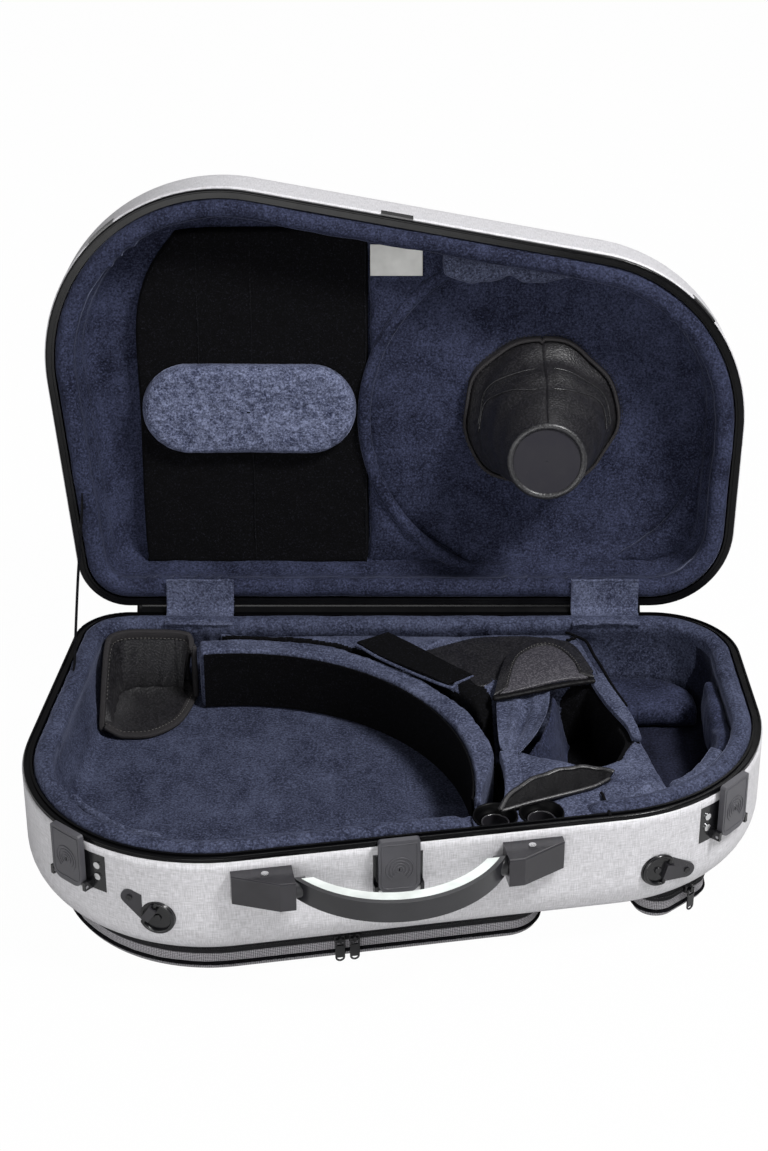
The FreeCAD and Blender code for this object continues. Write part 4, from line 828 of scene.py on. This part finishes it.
# plan outlines: the well, its rim seen from inside, its floor, and the channel beside the divider
wellEdge = plan((143, 75), (168, 79), (173, 60), (180, 38), (186, 22), (194, 2), (197, -15), (184, -46), (158, -62),
                (141, -52))
wellRim = plan((143, 75), (174, 82), (179, 60), (187, 38), (193, 22), (201, 2), (203, -16), (188, -50), (158, -66),
               (141, -52))
wellLine = plan((131, 59), (170, 74), (176, 37), (191, 2), (194, -13), (182, -43), (158, -58), (141, -47), (109, -36))
beside = plan((52, 84), (66, 82), (82, 56), (85, 24), (85, -6), (86, -28), (88, -46), (70, -60), (60, 0))
underSaddle = plan((20, 128), (60, 165), (180, 165), (180, 70), (60, 80))
underLeaf = plan((78, -124), (84, -104), (98, -90), (127, -69), (146, -62), (164, -59), (181, -68), (164, -93),
                 (106, -116))


# the block's highest places: under leather, at the front, elsewhere, and over the well
blockTops = {"leather": 0.1249, "front": 0.1243, "free": 0.1275, "well": 0.1212}


def blockRule(points, normals):
    # seams pressed into the top, soft sags, flat ground under the leather, and the cups' dips
    top = ease(points[:, 2], 0.114, 0.1235)
    points += normals * (0.0008 * smoothNoise(points, 0.035, 31) * (1 - 0.7 * top))[:, None]
    seams = alongLine(points, plan((163, -97), (167, -138)), 0.0028)
    seams += 0.8 * alongLine(points, plan((176, 37), (178, 103), (175, 133)), 0.0022)
    bar = alongLine(points, plan((80, -104), (92, -112), (130, -99), (163, -88)), 0.006)
    points[:, 2] -= top * (0.0065 * seams + 0.0035 * bar)
    points[:, 2] += top * 0.0012 * smoothNoise(points, 0.07, 32, 2)
    leather = inside(points, underSaddle) | inside(points, underLeaf)
    nearCups = np.min([np.linalg.norm(points[:, :2] - middle, axis=1) for middle in cups], axis=0) < 0.024
    front = alongLine(points, plan((60, -138), (92, -130), (130, -116), (160, -106)), 0.014) > 0.3
    limit = np.where(leather, blockTops["leather"], np.where(nearCups | front, blockTops["front"], blockTops["free"]))
    limit = np.where(inside(points, wellEdge), np.minimum(limit, blockTops["well"]), limit)
    points[:, 2] = np.minimum(points[:, 2], limit)
    return roundCups(points)


block = padOf("centre_block", "centreBlockPad", palePlush, "base", 0.9, blockRule, cap=0.0028, voxel=0.0038, relax=2)
# painted shade: the far side of the well, and the wall in the channel beside the divider, take the black loop material
centres = facesOf(block)
walls = centres[:, 2] < 0.1225
black = inside(centres, wellEdge) | inside(centres, beside) | walls & (
    inside(centres, wellRim) | (fromDivider(centres) < dividerArc["channel"]))
darkened(block, loopBlackAndPaintedShade, black)
# painted shade: a black loop sheet on the well's floor
wellFloor = pillow(curve(wellLine, 90, True), 0.0642, 0.0660, 0.002, dent=0.0006, seed=4)
piece("wellFloorPaintedShade", [wellFloor], loopBlackAndPaintedShade)
rightLip = strip(plan((168, 79), (172, 60), (179, 37), (185, 22), (193, 2), (196, -15)),
                 plan((180, 86), (187, 60), (193, 40), (198, 22), (202, 2), (204, -17)), 0.1236, 0.1288, 60, 40)
piece("wellRightLip", [rightLip], palePlush)
# the block's edge beside the channel's narrow front end, and the channel's floor
edgeStrip = arcStrip(0.2278, 0.2420, -9.5, 9, 60, 0.1150, 0.1262, rows=60, around=40)
piece("blockEdge", [edgeStrip], palePlush)
# painted shade: a black loop sheet on the channel's floor
piece("channelPaintedShade", [arcStrip(0.2245, 0.2318, -4, 84, 80, 0.0645, 0.0900)], loopBlackAndPaintedShade)

# the lit plush leaf that hangs over the well's left edge, rippled beside its fold
leafRows, leafColumns = 90, 70
foldTop = curve(plan((90, 74), (86, 50), (85, 24), (85, -6), (86, -26), (92, -41)), leafRows)
lipTop = curve(plan((132, 66), (131, 46), (127, 25), (120, 2), (112, -17), (101, -37)), leafRows)
walk, over = np.linspace(0, 1, leafRows)[:, None], np.linspace(0, 1, leafColumns)[None]
ripple = np.sin(over * 17 + 2.2 * walk + 0.8) * bell(over, 0.5, 0.3) * np.sin(walk * math.pi) ** 0.7
level = 0.1258 + 0.0022 * ripple - 0.006 * bell(over, 0.62, 0.2) * bell(walk, 0.45, 0.3) + 0.0015 * ease(over, 0.85, 1)
upper = raised(foldTop[:, None] + (lipTop - foldTop)[:, None] * over[..., None], level)
lower = upper - np.array([0, 0, 0.0022])
leaf = np.concatenate([upper, lower[:, ::-1], upper[:, :1]], 1)
wellLeaf = piece("wellLeaf", [(leaf, False, None)], palePlush, shut=False)
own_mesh(wellLeaf)
# under the leaf the plush wall slopes down into the well
wallTop = curve(plan((134, 64), (132, 46), (128, 25), (121, 1), (113, -18), (102, -37)), 60)
wallFoot = curve(plan((150, 62), (147, 42), (145, 21), (143, -4), (141, -34), (141, -48)), 60)
fall = np.linspace(0, 1, 40)[None]
wall = raised(wallTop[:, None] + (wallFoot - wallTop)[:, None] * (fall ** 0.8)[..., None],
              0.1215 - 0.0555 * ease(fall, -0.25, 1.05))
wall[..., 2] += 0.0016 * smoothNoise(wall, 0.02, 41)
wellWall = piece("wellLitWall", [(wall, False, None)], navyPlush, solid=0.002)
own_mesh(wellWall)

# leather on the block: the saddle, the half-moon flap with its bound edge, and the leaf flap
saddleBack = plan((20, 126), (36, 131), (58, 144), (78, 150), (109, 152), (140, 147), (158, 136), (172, 92))
saddleFront = plan((31, 117), (47, 97), (60, 84), (72, 66), (92, 78), (120, 86), (148, 84), (164, 82))
saddle = strip(saddleBack, saddleFront, seat, seat + 0.0024, 90,
               rise=lambda x, y: 0.0009 * np.sin(x * 150 + y * 60) * bell(y, 0.11, 0.03))
piece("leatherSaddle", [saddle], leatherBlack, "base", "leather_saddle")
moonArc = curve(plan((83, 43), (89, 76), (97, 105), (109, 124), (127, 139), (141, 138), (154, 124), (165, 98),
                     (171, 72)), 110)
moonFoot = curve(plan((84, 42), (96, 46), (112, 52), (128, 58), (144, 64), (158, 68), (170, 71)), 110)
moonMiddle = np.array([0.128, 0.088])


def swell(x, y):
    return 0.0052 * np.exp(-(((x - 0.128) / 0.036) ** 2 + ((y - 0.09) / 0.032) ** 2)) + 0.0007


def moonLine(share):
    return moonMiddle + (moonArc - moonMiddle) * share


# the flap's face takes the paler leather: painted highlight
moon = strip(moonLine(0.74), moonFoot + (moonMiddle - moonFoot) * 0.10, seat + 0.0030, seat + 0.0058, 110, 64, swell,
             14)
moonFlap = piece("moonFlap", [moon], leatherPale, "base", "saddle_flap")
moonBand = strip(moonArc, moonLine(0.715), seat + 0.0032, seat + 0.0068, 110, rise=swell)
moonEdge = piece("moonFlapBinding", [moonBand], leatherBlack)
# the roll under the flap's straight edge: rolled leather with painted shade
moonRoll = cord(raised(moonFoot, seat + 0.0046), 0.0060, 0.0044, 20, 2.4)
moonFold = piece("moonFlapFold", [moonRoll], leatherShade)
stitchLine = moonLine(0.755)
stitchLine = raised(stitchLine, seat + 0.0071 + swell(*stitchLine.T))
moonStitches = piece("moonFlapStitches", stitches(stitchLine[4:-4]), threadGrey)
for shape in (moonFlap, moonEdge, moonFold, moonStitches):
    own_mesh(shape)

leafBack = plan((82, -122), (88, -108), (98, -95), (112, -82), (127, -73), (146, -66), (164, -64), (176, -69))
leafFront = plan((84, -123), (94, -118), (106, -112), (118, -107), (132, -101), (146, -95), (160, -88), (172, -78))


def curled(x, y):
    return 0.0030 * bell(y - 0.62 * x, -0.153, 0.009) + 0.0006 * np.sin(x * 300)


leafSlab = strip(leafBack, leafFront, seat + 0.0008, seat + 0.0032, 80, rise=curled)
# the leaf flap takes the darker matt leather: painted shade
piece("leafFlap", [leafSlab], leatherShade, "base", "leaf_flap")
backLine = curve(leafBack, 80)
leafRims = [cord(raised(curve(leafFront, 80), seat + 0.0022), 0.0034),
            cord(raised(backLine, seat + 0.0034 + curled(*backLine.T)), 0.0046, 0.0022)]
piece("leafFlapEdge", leafRims, leatherBlack)

# the strap over the divider, its plush edge, and the thin cords on the block
strap = strip(plan((-35, 138), (-6, 108), (44, 67)), plan((-7, 156), (24, 124), (66, 83)), seat + 0.0006, seat + 0.0034,
              60, rise=lambda x, y: 0.0006 * np.sin(x * 90) + 0.0012)
piece("holdDownStrap", [strap], loopBlackAndPaintedShade, "base", "hold_down_strap")
edgeLine = raised(curve(plan((-35, 136), (-8, 107), (43, 66), (52, 71), (66, 82)), 80), seat + 0.002)
piece("strapPlushEdge", [cord(edgeLine, 0.0026)], palePlush)
cordPaths = [plan((153, 160), (162, 152), (170, 143), (175, 120), (181, 94), (189, 61), (196, 36)),
             plan((162, 152), (157, 149), (153, 146))]
cordHeights = 0.1262 + 0.0004 * np.sin(np.arange(90) / 6)
cords = [cord(raised(curve(line, 90), cordHeights), 0.0028, 0.0026) for line in cordPaths]
piece("blackPiping", cords, loopBlackAndPaintedShade)

# the raised front bar that holds the cups, its seam, and black dishes round them
barBack = plan((59, -133), (75, -129), (92, -123), (128, -110), (152, -101), (163, -97))
barFront = plan((61, -146.5), (75, -144.5), (92, -141), (128, -134.5), (152, -130), (165, -128))
bar = strip(barBack, barFront, 0.1170, 0.1272, 190, 150, plump=12)
roundCups(bar[0])
piece("frontBar", [bar], palePlush)
seamLine = curve([(0.1640, -0.0985, 0.1284), (0.1652, -0.108, 0.1300), (0.1668, -0.121, 0.1302),
                  (0.1684, -0.134, 0.1298)], 30)
piece("frontBarSeam", [cord(seamLine, 0.0026, 0.0018, 10)], loopBlackAndPaintedShade)
# radius and height, from the wall of the cup over the lip and back
dishProfile = [(0.0121, 0.1165), (0.0124, 0.1208), (0.0136, 0.1219), (0.0152, 0.1245), (0.0165, 0.1272),
               (0.0173, 0.1280), (0.0181, 0.1278), (0.0182, 0.1255), (0.0168, 0.1230), (0.0150, 0.1208),
               (0.0130, 0.1188), (0.0121, 0.1165)]
dishes = [(np.stack([raised(onCircle(fullTurn(64), radius, middle), z) for radius, z in dishProfile]), True, None)
          for middle in cups]
piece("cupDishes", dishes, dishBlack)
print("block and leather made")


def sideRule(points, normals):
    points += normals * (0.0011 * smoothNoise(points, 0.04, 51))[:, None]
    seam = alongLine(points, plan((280, 107), (283, 49), (278, -43)), 0.003)
    points[:, 2] -= 0.002 * ease(points[:, 2], 0.10, 0.118) * seam
    return points


def humpRule(points, normals):
    # a rounded lobe at the left end that stands a little proud of the roll
    points[:, 2] += 0.003 * np.exp(-((points[:, 0] - 0.181) ** 2 + (points[:, 1] + 0.098) ** 2) / 0.011 ** 2)
    return points + normals * (0.0008 * smoothNoise(points, 0.04, 52))[:, None]


def bumperRule(points, normals):
    # its top stands a little proud of the roll behind it
    points[:, 2] += 0.0048 * ease(points[:, 2], 0.105, 0.122)
    return points + normals * (0.0008 * smoothNoise(points, 0.03, 53))[:, None]


padOf("right_side_roll", "rightSideRoll", navyPlush, "base", 0.85, sideRule, cap=0.004)
padOf("front_right_roll", "frontRightRoll", palePlush, "base", 0.85, humpRule, cap=0.004)
padOf("front_left_bumper", "frontLeftBumper", palePlush, "base", 0.85, bumperRule, cap=0.003, voxel=0.0035)
padOf("compartment_rear_pad", "rearPad", navyPlush, "base", 0.8, sideRule, cap=0.005)
humpTop = strip(plan((166, -97), (172, -86), (180, -87), (188, -104), (191, -118)),
                plan((167, -127), (171, -126.5), (177, -126), (184, -124.5), (190, -121)), 0.1215, 0.1290, 50, 48,
                plump=5)
piece("frontHump", [humpTop], palePlush)

# the three-cornered leather pocket in the rear left corner: a pleated wall, a leaf on the floor, and bound edges
pocketPath = curve(plan((-182, 149), (-183.5, 158), (-190, 164.5), (-215, 165.8), (-240, 164.5), (-254, 158),
                        (-259.5, 146), (-261.5, 118), (-262, 88)), 110)
step = walked(pocketPath)
step /= step[-1]
top = np.interp(step, [0, 0.10, 0.2, 0.62, 0.70, 1.0], [0.119, 0.1235, 0.125, 0.1265, 0.120, 0.0745])
tangent = unit(np.gradient(pocketPath, axis=0))
inwards = np.stack([tangent[:, 1], -tangent[:, 0]], 1)
inwards *= np.sign(np.sum(inwards * (np.array([-0.2, 0.1]) - pocketPath), 1))[:, None]
up, foot = np.linspace(0, 1, 24), 0.0705
fold = 0.0028 * bell(step, 0.63, 0.012) - 0.0022 * bell(step, 0.66, 0.01) + 0.002 * bell(step, 0.17, 0.012)
rows = []
for side, shares in ((0.0022, up), (0.0, up[::-1])):
    for share in shares:
        # the face bellies out low down, and two pleats run down the inner corner
        belly = 0.0045 * np.sin(math.pi * share ** 0.7) + 0.008 * (1 - share) ** 3 * (side > 0)
        offset = side + belly + fold * share + 0.0005 * np.sin(step * 55 + 3 * share)
        rows.append(raised(pocketPath + inwards * offset[:, None], foot + (top - foot) * share))
piece("cornerPocket", [(np.stack(rows + rows[:1]), False, None)], leatherBlack, "base", "corner_pocket",
      shut=False)
floorRear = plan((-186, 160), (-200, 161), (-225, 161), (-250, 152), (-257, 140), (-258, 90))
floorFront = plan((-184, 150), (-191, 118), (-200, 99), (-218, 84), (-238, 82), (-256, 84))


def footRise(x, y):
    return 0.010 * ease(np.maximum((y - 0.145) / 0.02, (-0.240 - x) / 0.02), 0, 1.2)


pocketLeaf = strip(floorRear, floorFront, 0.0655, 0.0680, rise=footRise)
piece("cornerPocketLeaf", [pocketLeaf], leatherBlack)
leafLine = curve(floorFront, 90)
leafLine = raised(leafLine, 0.0670 + footRise(*leafLine.T))
postLine = [(-0.1818, 0.1485, z) for z in np.linspace(0.069, 0.118, 12)]
bindings = [cord(raised(pocketPath + inwards * 0.0018, top - 0.0030), 0.0052, 0.0085, 18, 5),
            cord(leafLine, 0.0085, 0.0040, 18, 4), cord(postLine, 0.0085, 0.0045, 18, 4, up=(1, 0.3, 0))]
piece("cornerPocketBinding", bindings, bindingTape)
stitchPath = raised(pocketPath + inwards * 0.0048, top - 0.0055)
threads = stitches(stitchPath, up=(0, -1, 0.3)) + stitches(leafLine + [0, 0.0022, 0.0022])
piece("cornerPocketStitches", threads, threadGrey)
print("base pieces made")


# a round plate and its screw behind each strap ring: the middle of the ring, and its way out of the shell
ringPlates = {
    "Left": ((-0.1869, -0.1904, 0.0730), (-0.225, -0.974)),
    "Right": ((0.2098, -0.1281, 0.0730), (0.375, -0.927)),
}
for side, (middle, out) in ringPlates.items():
    turned = np.array([(-out[1], out[0], 0), (0, 0, 1), (*out, 0)])
    parts = []
    for wide, low, high in ((0.0290, -0.0024, -0.0008), (0.0062, -0.0010, 0.0006)):
        grid, closed, uv = pillow(ovalRing(wide, wide, 48), low, high, 0.0006, 10)
        parts.append((grid @ turned + middle, closed, uv))
    piece("ringDisc" + side, parts, metalBlack)


# Soft pieces in the lid, made in the closed case's frame with heights measured from the lid's floor
lidFloorZ = rimZ + case["lidFloor"]


def hung(patch):
    grid = patch[0].copy()
    grid[..., 2] = lidFloorZ - grid[..., 2]
    return grid, patch[1], patch[2]


boardLine = curve(plan((-232, -60), (-231, 20), (-231, 100), (-229, 158), (-222, 165), (-130, 166), (-34, 165),
                       (-26, 160), (-25.5, 80), (-25.5, -40), (-26, -140), (-34, -148), (-120, -148), (-186, -146),
                       (-200, -138), (-222, -104)), 260, True)
board = pillow(boardLine, 0.0002, 0.0121, 0.003, 50,
               surface=lambda x, y: 0.0005 * planNoise(x, y, 0.05, 61) * (np.abs(y) < 0.16))
piece("lidLoopBoard", [hung(board)], loopBlackAndPaintedShade, "lid", "lid_loop_board")
seams = []
for x, start, stop in ((-0.129, -0.143, 0.160), (-0.0275, -0.140, 0.158), (-0.1765, -0.02, -0.145)):
    line = [(x + 0.0003 * math.sin(y * 90), y, 0.0122) for y in np.linspace(start, stop, 60)]
    seams.append(hung(cord(line, 0.0013, 0.0010, 8)))
piece("lidBoardSeams", seams, loopSheen, "lid")

bend, run = np.linspace(-math.pi / 2, math.pi / 2, 62), np.linspace(-1, 1, 52)[1:-1]
stadium = {"middle": (-0.132, 0.015), "half": 0.0548, "round": 0.0412}
right = onCircle(bend, stadium["round"], (stadium["half"], 0))
top = np.stack([-stadium["half"] * run, stadium["round"] + 0 * run], 1)
ovalLine = np.concatenate([right, top, -right, -top]) + stadium["middle"]
oval = pillow(ovalLine, 0.0121, 0.0255, 0.0085, 60, 0.0012,
              surface=lambda x, y: 0.0009 * planNoise(x, y, 0.011, 62, 2) + 0.0012 * planNoise(x, y, 0.05, 63, 1))
ovalPad = piece("ovalPad", [hung(oval)], ovalPlush, "lid", "lid_oval_pad")


def surroundRule(points, normals):
    # flat ground under the tag
    points += normals * (0.0010 * smoothNoise(points, 0.05, 64))[:, None]
    tagged = (np.abs(points[:, 0]) < 0.030) & (points[:, 1] < -0.100) & (points[:, 2] < lidFloorZ - 0.006)
    points[:, 2] = np.where(tagged, np.maximum(points[:, 2], lidFloorZ - 0.0119), points[:, 2])
    return points


padOf("recess_surround", "recessSurround", navyPlush, "lid", 0.8, surroundRule, cap=0.0035, voxel=0.005)
arc = np.radians(np.linspace(113, 240, 150))
ridgeLine = raised(onCircle(arc, 0.158, (0.129, 0.024)), 0.0135 + 0.0008 * np.sin(arc * 19))
piece("recessRidge", [hung(cord(ridgeLine, 0.0115, 0.0105, 20))], navyPlush, "lid", "recess_ridge")


def lobeRule(points, normals):
    # a wavy lower edge with a notch, and a crest along the middle
    wave = 0.0035 * np.sin(points[:, 0] * 62 + 1.0) - 0.005 * bell(points[:, 0], 0.100, 0.008)
    points[:, 1] += wave * ease(points[:, 1], -0.125, -0.105)
    return points + normals * (0.0012 * smoothNoise(points, 0.03, 65))[:, None]


padOf("lid_front_lobe", "lidLobe", palePlush, "lid", 0.85, lobeRule, cap=0.005, voxel=0.0042)
tag = strip(plan((-23, -107), (0, -107), (23, -107)), plan((-23, -135), (0, -135), (23, -135)), 0.0129, 0.0138, 40,
            plump=30)
piece("blankTag", [hung(tag)], tagWhite, "lid", "blank_tag")

# the leather cone: rings from the brim on the lid's floor to the piped end, in plan angles round its axis
cone = {"x": 0.130, "y": 0.022, "sag": 0.011, "brim": 0.0705, "end": 0.0318, "reach": 0.1075}


def conePoint(turn, share, out=0.0):
    wave = 0.0022 * np.sin(3 * turn + 0.7) + 0.0013 * np.sin(5 * turn + 2.1) + 0.0009 * np.sin(9 * turn)
    hollow = 0.0035 * bell(share, 0.2, 0.12) * (0.6 + 0.4 * np.sin(4 * turn + 0.5))
    hollow += 0.0012 * np.sin(share * 22 + 3 * turn) * (1 - share)
    radius = cone["brim"] + (cone["end"] - cone["brim"]) * share ** 0.93 + wave * (1 - share) ** 2 + out
    # the seam runs down the front side
    front = np.mod(turn + math.pi / 2 + math.pi, 2 * math.pi) - math.pi
    groove = 0.0028 * bell(front + 0.012 * np.sin(share * 9), 0, 0.016)
    radius = radius - hollow * (share < 0.98) - groove * (share < 0.97)
    flat = onCircle(turn, radius, (cone["x"], cone["y"] + cone["sag"] * share))
    return raised(flat, 0.0003 + cone["reach"] * share)


def coneArc(side, start, stop, count, near, far, out):
    # a line on the cone's front, from near the seam round one side of it
    swing = np.radians(np.linspace(start, stop, count))
    return conePoint(-math.pi / 2 + side * swing, near + (far - near) * ease(swing, 0.15, 1.35), out)


turn = fullTurn(300)
wall = conePoint(turn[None], np.linspace(0, 1, 90)[:, None])
shares = np.linspace(0.98, 0.02, 24)
cap = drawnIn(wall[-1], shares)
cap[..., 2] -= 0.0012 * ease(1 - shares, 0, 0.12)[:, None]
coneGrid = np.concatenate([wall, cap])
piece("bellCone", [hung((coneGrid, True, None))], leatherBlack, "lid", "bell_cone")
discLayer = drawnIn(wall[-1], np.linspace(1, 0.02, 20) * 0.93)
discLayer[..., 2] += 0.0004
piece("coneDisc", [hung((discLayer, True, None))], discGrey, "lid", shut=False)
pipingLine = conePoint(turn, np.ones(300)) - [0, 0, 0.0008]
piece("conePiping", [hung(cord(pipingLine, 0.0062, 0.0058, 18, closed=True))], leatherGloss, "lid")
brimLine = conePoint(turn, np.full(300, 0.045), 0.0012)
piece("coneBrimTape", [hung(cord(brimLine, 0.0030, 0.0095, 20, 4, closed=True))], bindingTape, "lid")
threads, ribs = [], []
for share in (0.02, 0.085):
    threads += stitches(conePoint(turn, np.full(300, share), 0.0030), pitch=0.0036)
for side in (-1, 1):
    for near, far in ((0.43, 0.25), (0.50, 0.285)):
        threads += stitches(coneArc(side, 9, 96, 60, near, far, 0.0006))
    for off in (0.155, 0.185):
        threads += stitches(conePoint(-math.pi / 2 + side * np.full(12, off), np.linspace(0.36, 0.58, 12), 0.0006))
    for near, far in ((0.36, 0.22), (0.58, 0.32)):
        ribs.append(hung(cord(coneArc(side, 9, 92, 80, near, far, 0.0005), 0.0013, count=8)))
piece("coneStitches", [hung(thread) for thread in threads], threadBlack, "lid")
piece("coneRibs", ribs, leatherGloss, "lid")
print("lid pieces made")


def crossing(middle, wide, count, profile, rows):
    # a sheet across the hinge line: a profile of (y, z) carried along x
    profile = curve(profile, rows)
    across = middle + np.linspace(*wide, count)
    return np.stack(np.broadcast_arrays(across[None], profile[:, :1], profile[:, 1:]), 2).copy()


# plush flaps over the hinges, running from the base's rim round the hinge and up the open lid
coverProfile = [(0.1650, 0.1322), (0.1740, 0.1324), (0.1835, 0.1324), (0.1885, 0.1345), (0.1908, 0.1400),
                (0.1922, 0.1480), (0.1934, 0.1580), (0.1930, 0.1610)]
coverHalf = 0.0305
for number, middle in enumerate((-0.178, 0.189), start=1):
    sheet = crossing(middle, (-coverHalf, coverHalf), 50, coverProfile, 60)
    arch = 1 - np.linspace(-1, 1, 50) ** 8
    sheet[..., 2] += 0.0007 * smoothNoise(sheet, 0.02, 70 + number) + 0.0006 * arch[None]
    cover = piece("hingeCover%d" % number, [(sheet, False, None)], palePlush, None,
                  "hinge_covers" if number == 1 else None, 0.0022)
    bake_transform(cover)

# a thin black band that closes the gap between the two rims along the hinges
sealProfile = [(0.1900, 0.1285), (0.1916, 0.1296), (0.1934, 0.1312), (0.1950, 0.1332), (0.1957, 0.1352)]
sealGrid = crossing(0, (-0.236, 0.222), 90, sealProfile, 16)
seal = piece("hingeSeal", [(sealGrid, False, None)], rimBlack, None, solid=0.0008)
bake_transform(seal)

ribbonLine = curve([(-0.2806, 0.0850, 0.1300), (-0.2812, 0.1150, 0.1555), (-0.2814, 0.1500, 0.1868),
                    (-0.2808, 0.1800, 0.2138), (-0.2806, 0.2085, 0.2395)], 70)
ribbonBand = cord(ribbonLine, 0.0014, 0.0100, 20, 6, up=(0, -0.664, 0.748))
ribbon = piece("stayRibbon", [ribbonBand], loopSheen, None, "stay_ribbon")
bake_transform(ribbon)
print("covers and stay made")


# The cloth pockets under the base: a bulged tweed wall, a bottom, piping at the foot and a zip round the front
pockets = {
    "large": (420, [(-0.1519, -0.0364, 0.1274), (0.0860, -0.09009, 0.0320), (0.0860, 0.0880, 0.0320),
                    (-0.2300, 0.0880, 0.0320)]),
    "small": (220, [(0.2152, -0.07578, 0.0192), (0.2388, -0.05476, 0.0192), (0.2388, 0.0908, 0.0192),
                    (0.2152, 0.0908, 0.0192)]),
}
heights = {"shell": 0.0300, "round": 0.0060, "piping": 0.0078, "zip": 0.0225}
# wall profile from under the shell to the rounded foot: height and inset
turn = np.linspace(0, math.pi / 2, 10)[1:]
depth = np.concatenate([np.linspace(heights["shell"], 0.0070, 16), heights["round"] * (1 - np.sin(turn))])
inset = np.concatenate([0.0003 + 0.0006 * np.sin(np.linspace(0, math.pi, 16) * 2),
                        heights["round"] * (1 - np.cos(turn))])
pipings, tapes, teeth = [], [], []
for word, (count, circles) in pockets.items():
    grid, uv, ring, normal = walled(circles, count, inset, depth)
    puff = 0.0007 * smoothNoise(grid, 0.06, 81) * bell(grid[..., 2], 0.015, 0.01)
    grid[..., :2] -= normal[None] * np.abs(puff)[..., None]
    shares = np.linspace(1, 0, 40)
    bottom = drawnIn(grid[-1], shares)
    bottom[..., 2] += 0.0008 * (1 - shares[:, None]) * (1 + smoothNoise(bottom, 0.06, 82))
    piece(word + "Pocket", [(grid, True, uv), (bottom, True, None)], tweed, "base", word + "_pocket",
          shut=False)
    pipingLine = raised(ring + normal * 0.0001, heights["piping"])
    pipings.append(cord(pipingLine, 0.0034, count=14, closed=True))
    tapeLine = raised(ring + normal * 0.0004, heights["zip"])
    tapes.append(cord(tapeLine, 0.0012, 0.0088, 14, 6, closed=True))
    ring, normal, walk = hullRing(circles, count * 2)
    teethLine = raised(ring + normal * 0.0010, heights["zip"])
    teeth += stitches(np.concatenate([teethLine, teethLine[:1]]), long=0.0012, pitch=0.0021, thick=0.0022)
piece("pocketPiping", pipings, loopSheen, "base", "pocket_piping")
piece("zipTapes", tapes, tapeRibbed, "base", "zip_tapes")
piece("zipTeeth", teeth, metalBlack)
print("pockets made")


# on each latch lever: a raised border, concentric arcs round a keyhole, all generic
for word in ("left", "centre", "right"):
    world = pointsOf(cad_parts["latch_lever_" + word].data)
    middle = world.mean(0)
    flat = world[:, :2] - middle[:2]
    # the lever's wide direction is the main direction of its plan
    spread, axes = np.linalg.eigh(flat.T @ flat)
    wide = np.append(axes[:, 1], 0)
    wide *= np.sign(wide[0])
    out = np.cross(wide, (0, 0, 1))
    high, low = world[:, 2].max(), world[:, 2].min()
    origin = middle + out * ((world @ out).max() - middle @ out)
    origin[2] = low + (high - low) * 0.46

    def place(flat, off=0.0001):
        return origin + flat[:, :1] * wide + flat[:, 1:] * (0, 0, 1) + off * out

    def bead(flat, thick, high=None, off=0.0001, closed=False):
        return cord(place(flat, off), thick, high, 8, up=out, closed=closed)

    rings = [bead(onCircle(np.linspace(-0.9, math.pi + 0.9, 60), radius), 0.0009)
             for radius in (0.0052, 0.0080, 0.0108)]
    rings.append(bead(onCircle(fullTurn(40), 0.0028), 0.0008, closed=True))
    half, top, foot = 0.0140, high - origin[2] - 0.0035, low - origin[2] + 0.0050
    border = curve([(-half, foot + 0.004), (-half, 0), (-half, top - 0.002), (-half + 0.002, top), (0, top),
                    (half - 0.002, top), (half, top - 0.002), (half, 0), (half, foot + 0.004), (half - 0.004, foot),
                    (0, foot), (-half + 0.004, foot)], 120, True)
    rings.append(bead(border, 0.0010, 0.0008, 0.00005, True))
    piece("leverRings_" + word, rings, charcoal, "lever_" + word)
    # the keyhole is a black bead on the lever's face: painted shade for the hole
    slot = np.stack([np.zeros(8), 0.0006 - 0.0022 * np.linspace(0, 1, 8)], 1)
    piece("leverKeyhole_" + word, [bead(slot, 0.0010, 0.0006)], dishBlack, "lever_" + word)
print("latches detailed")
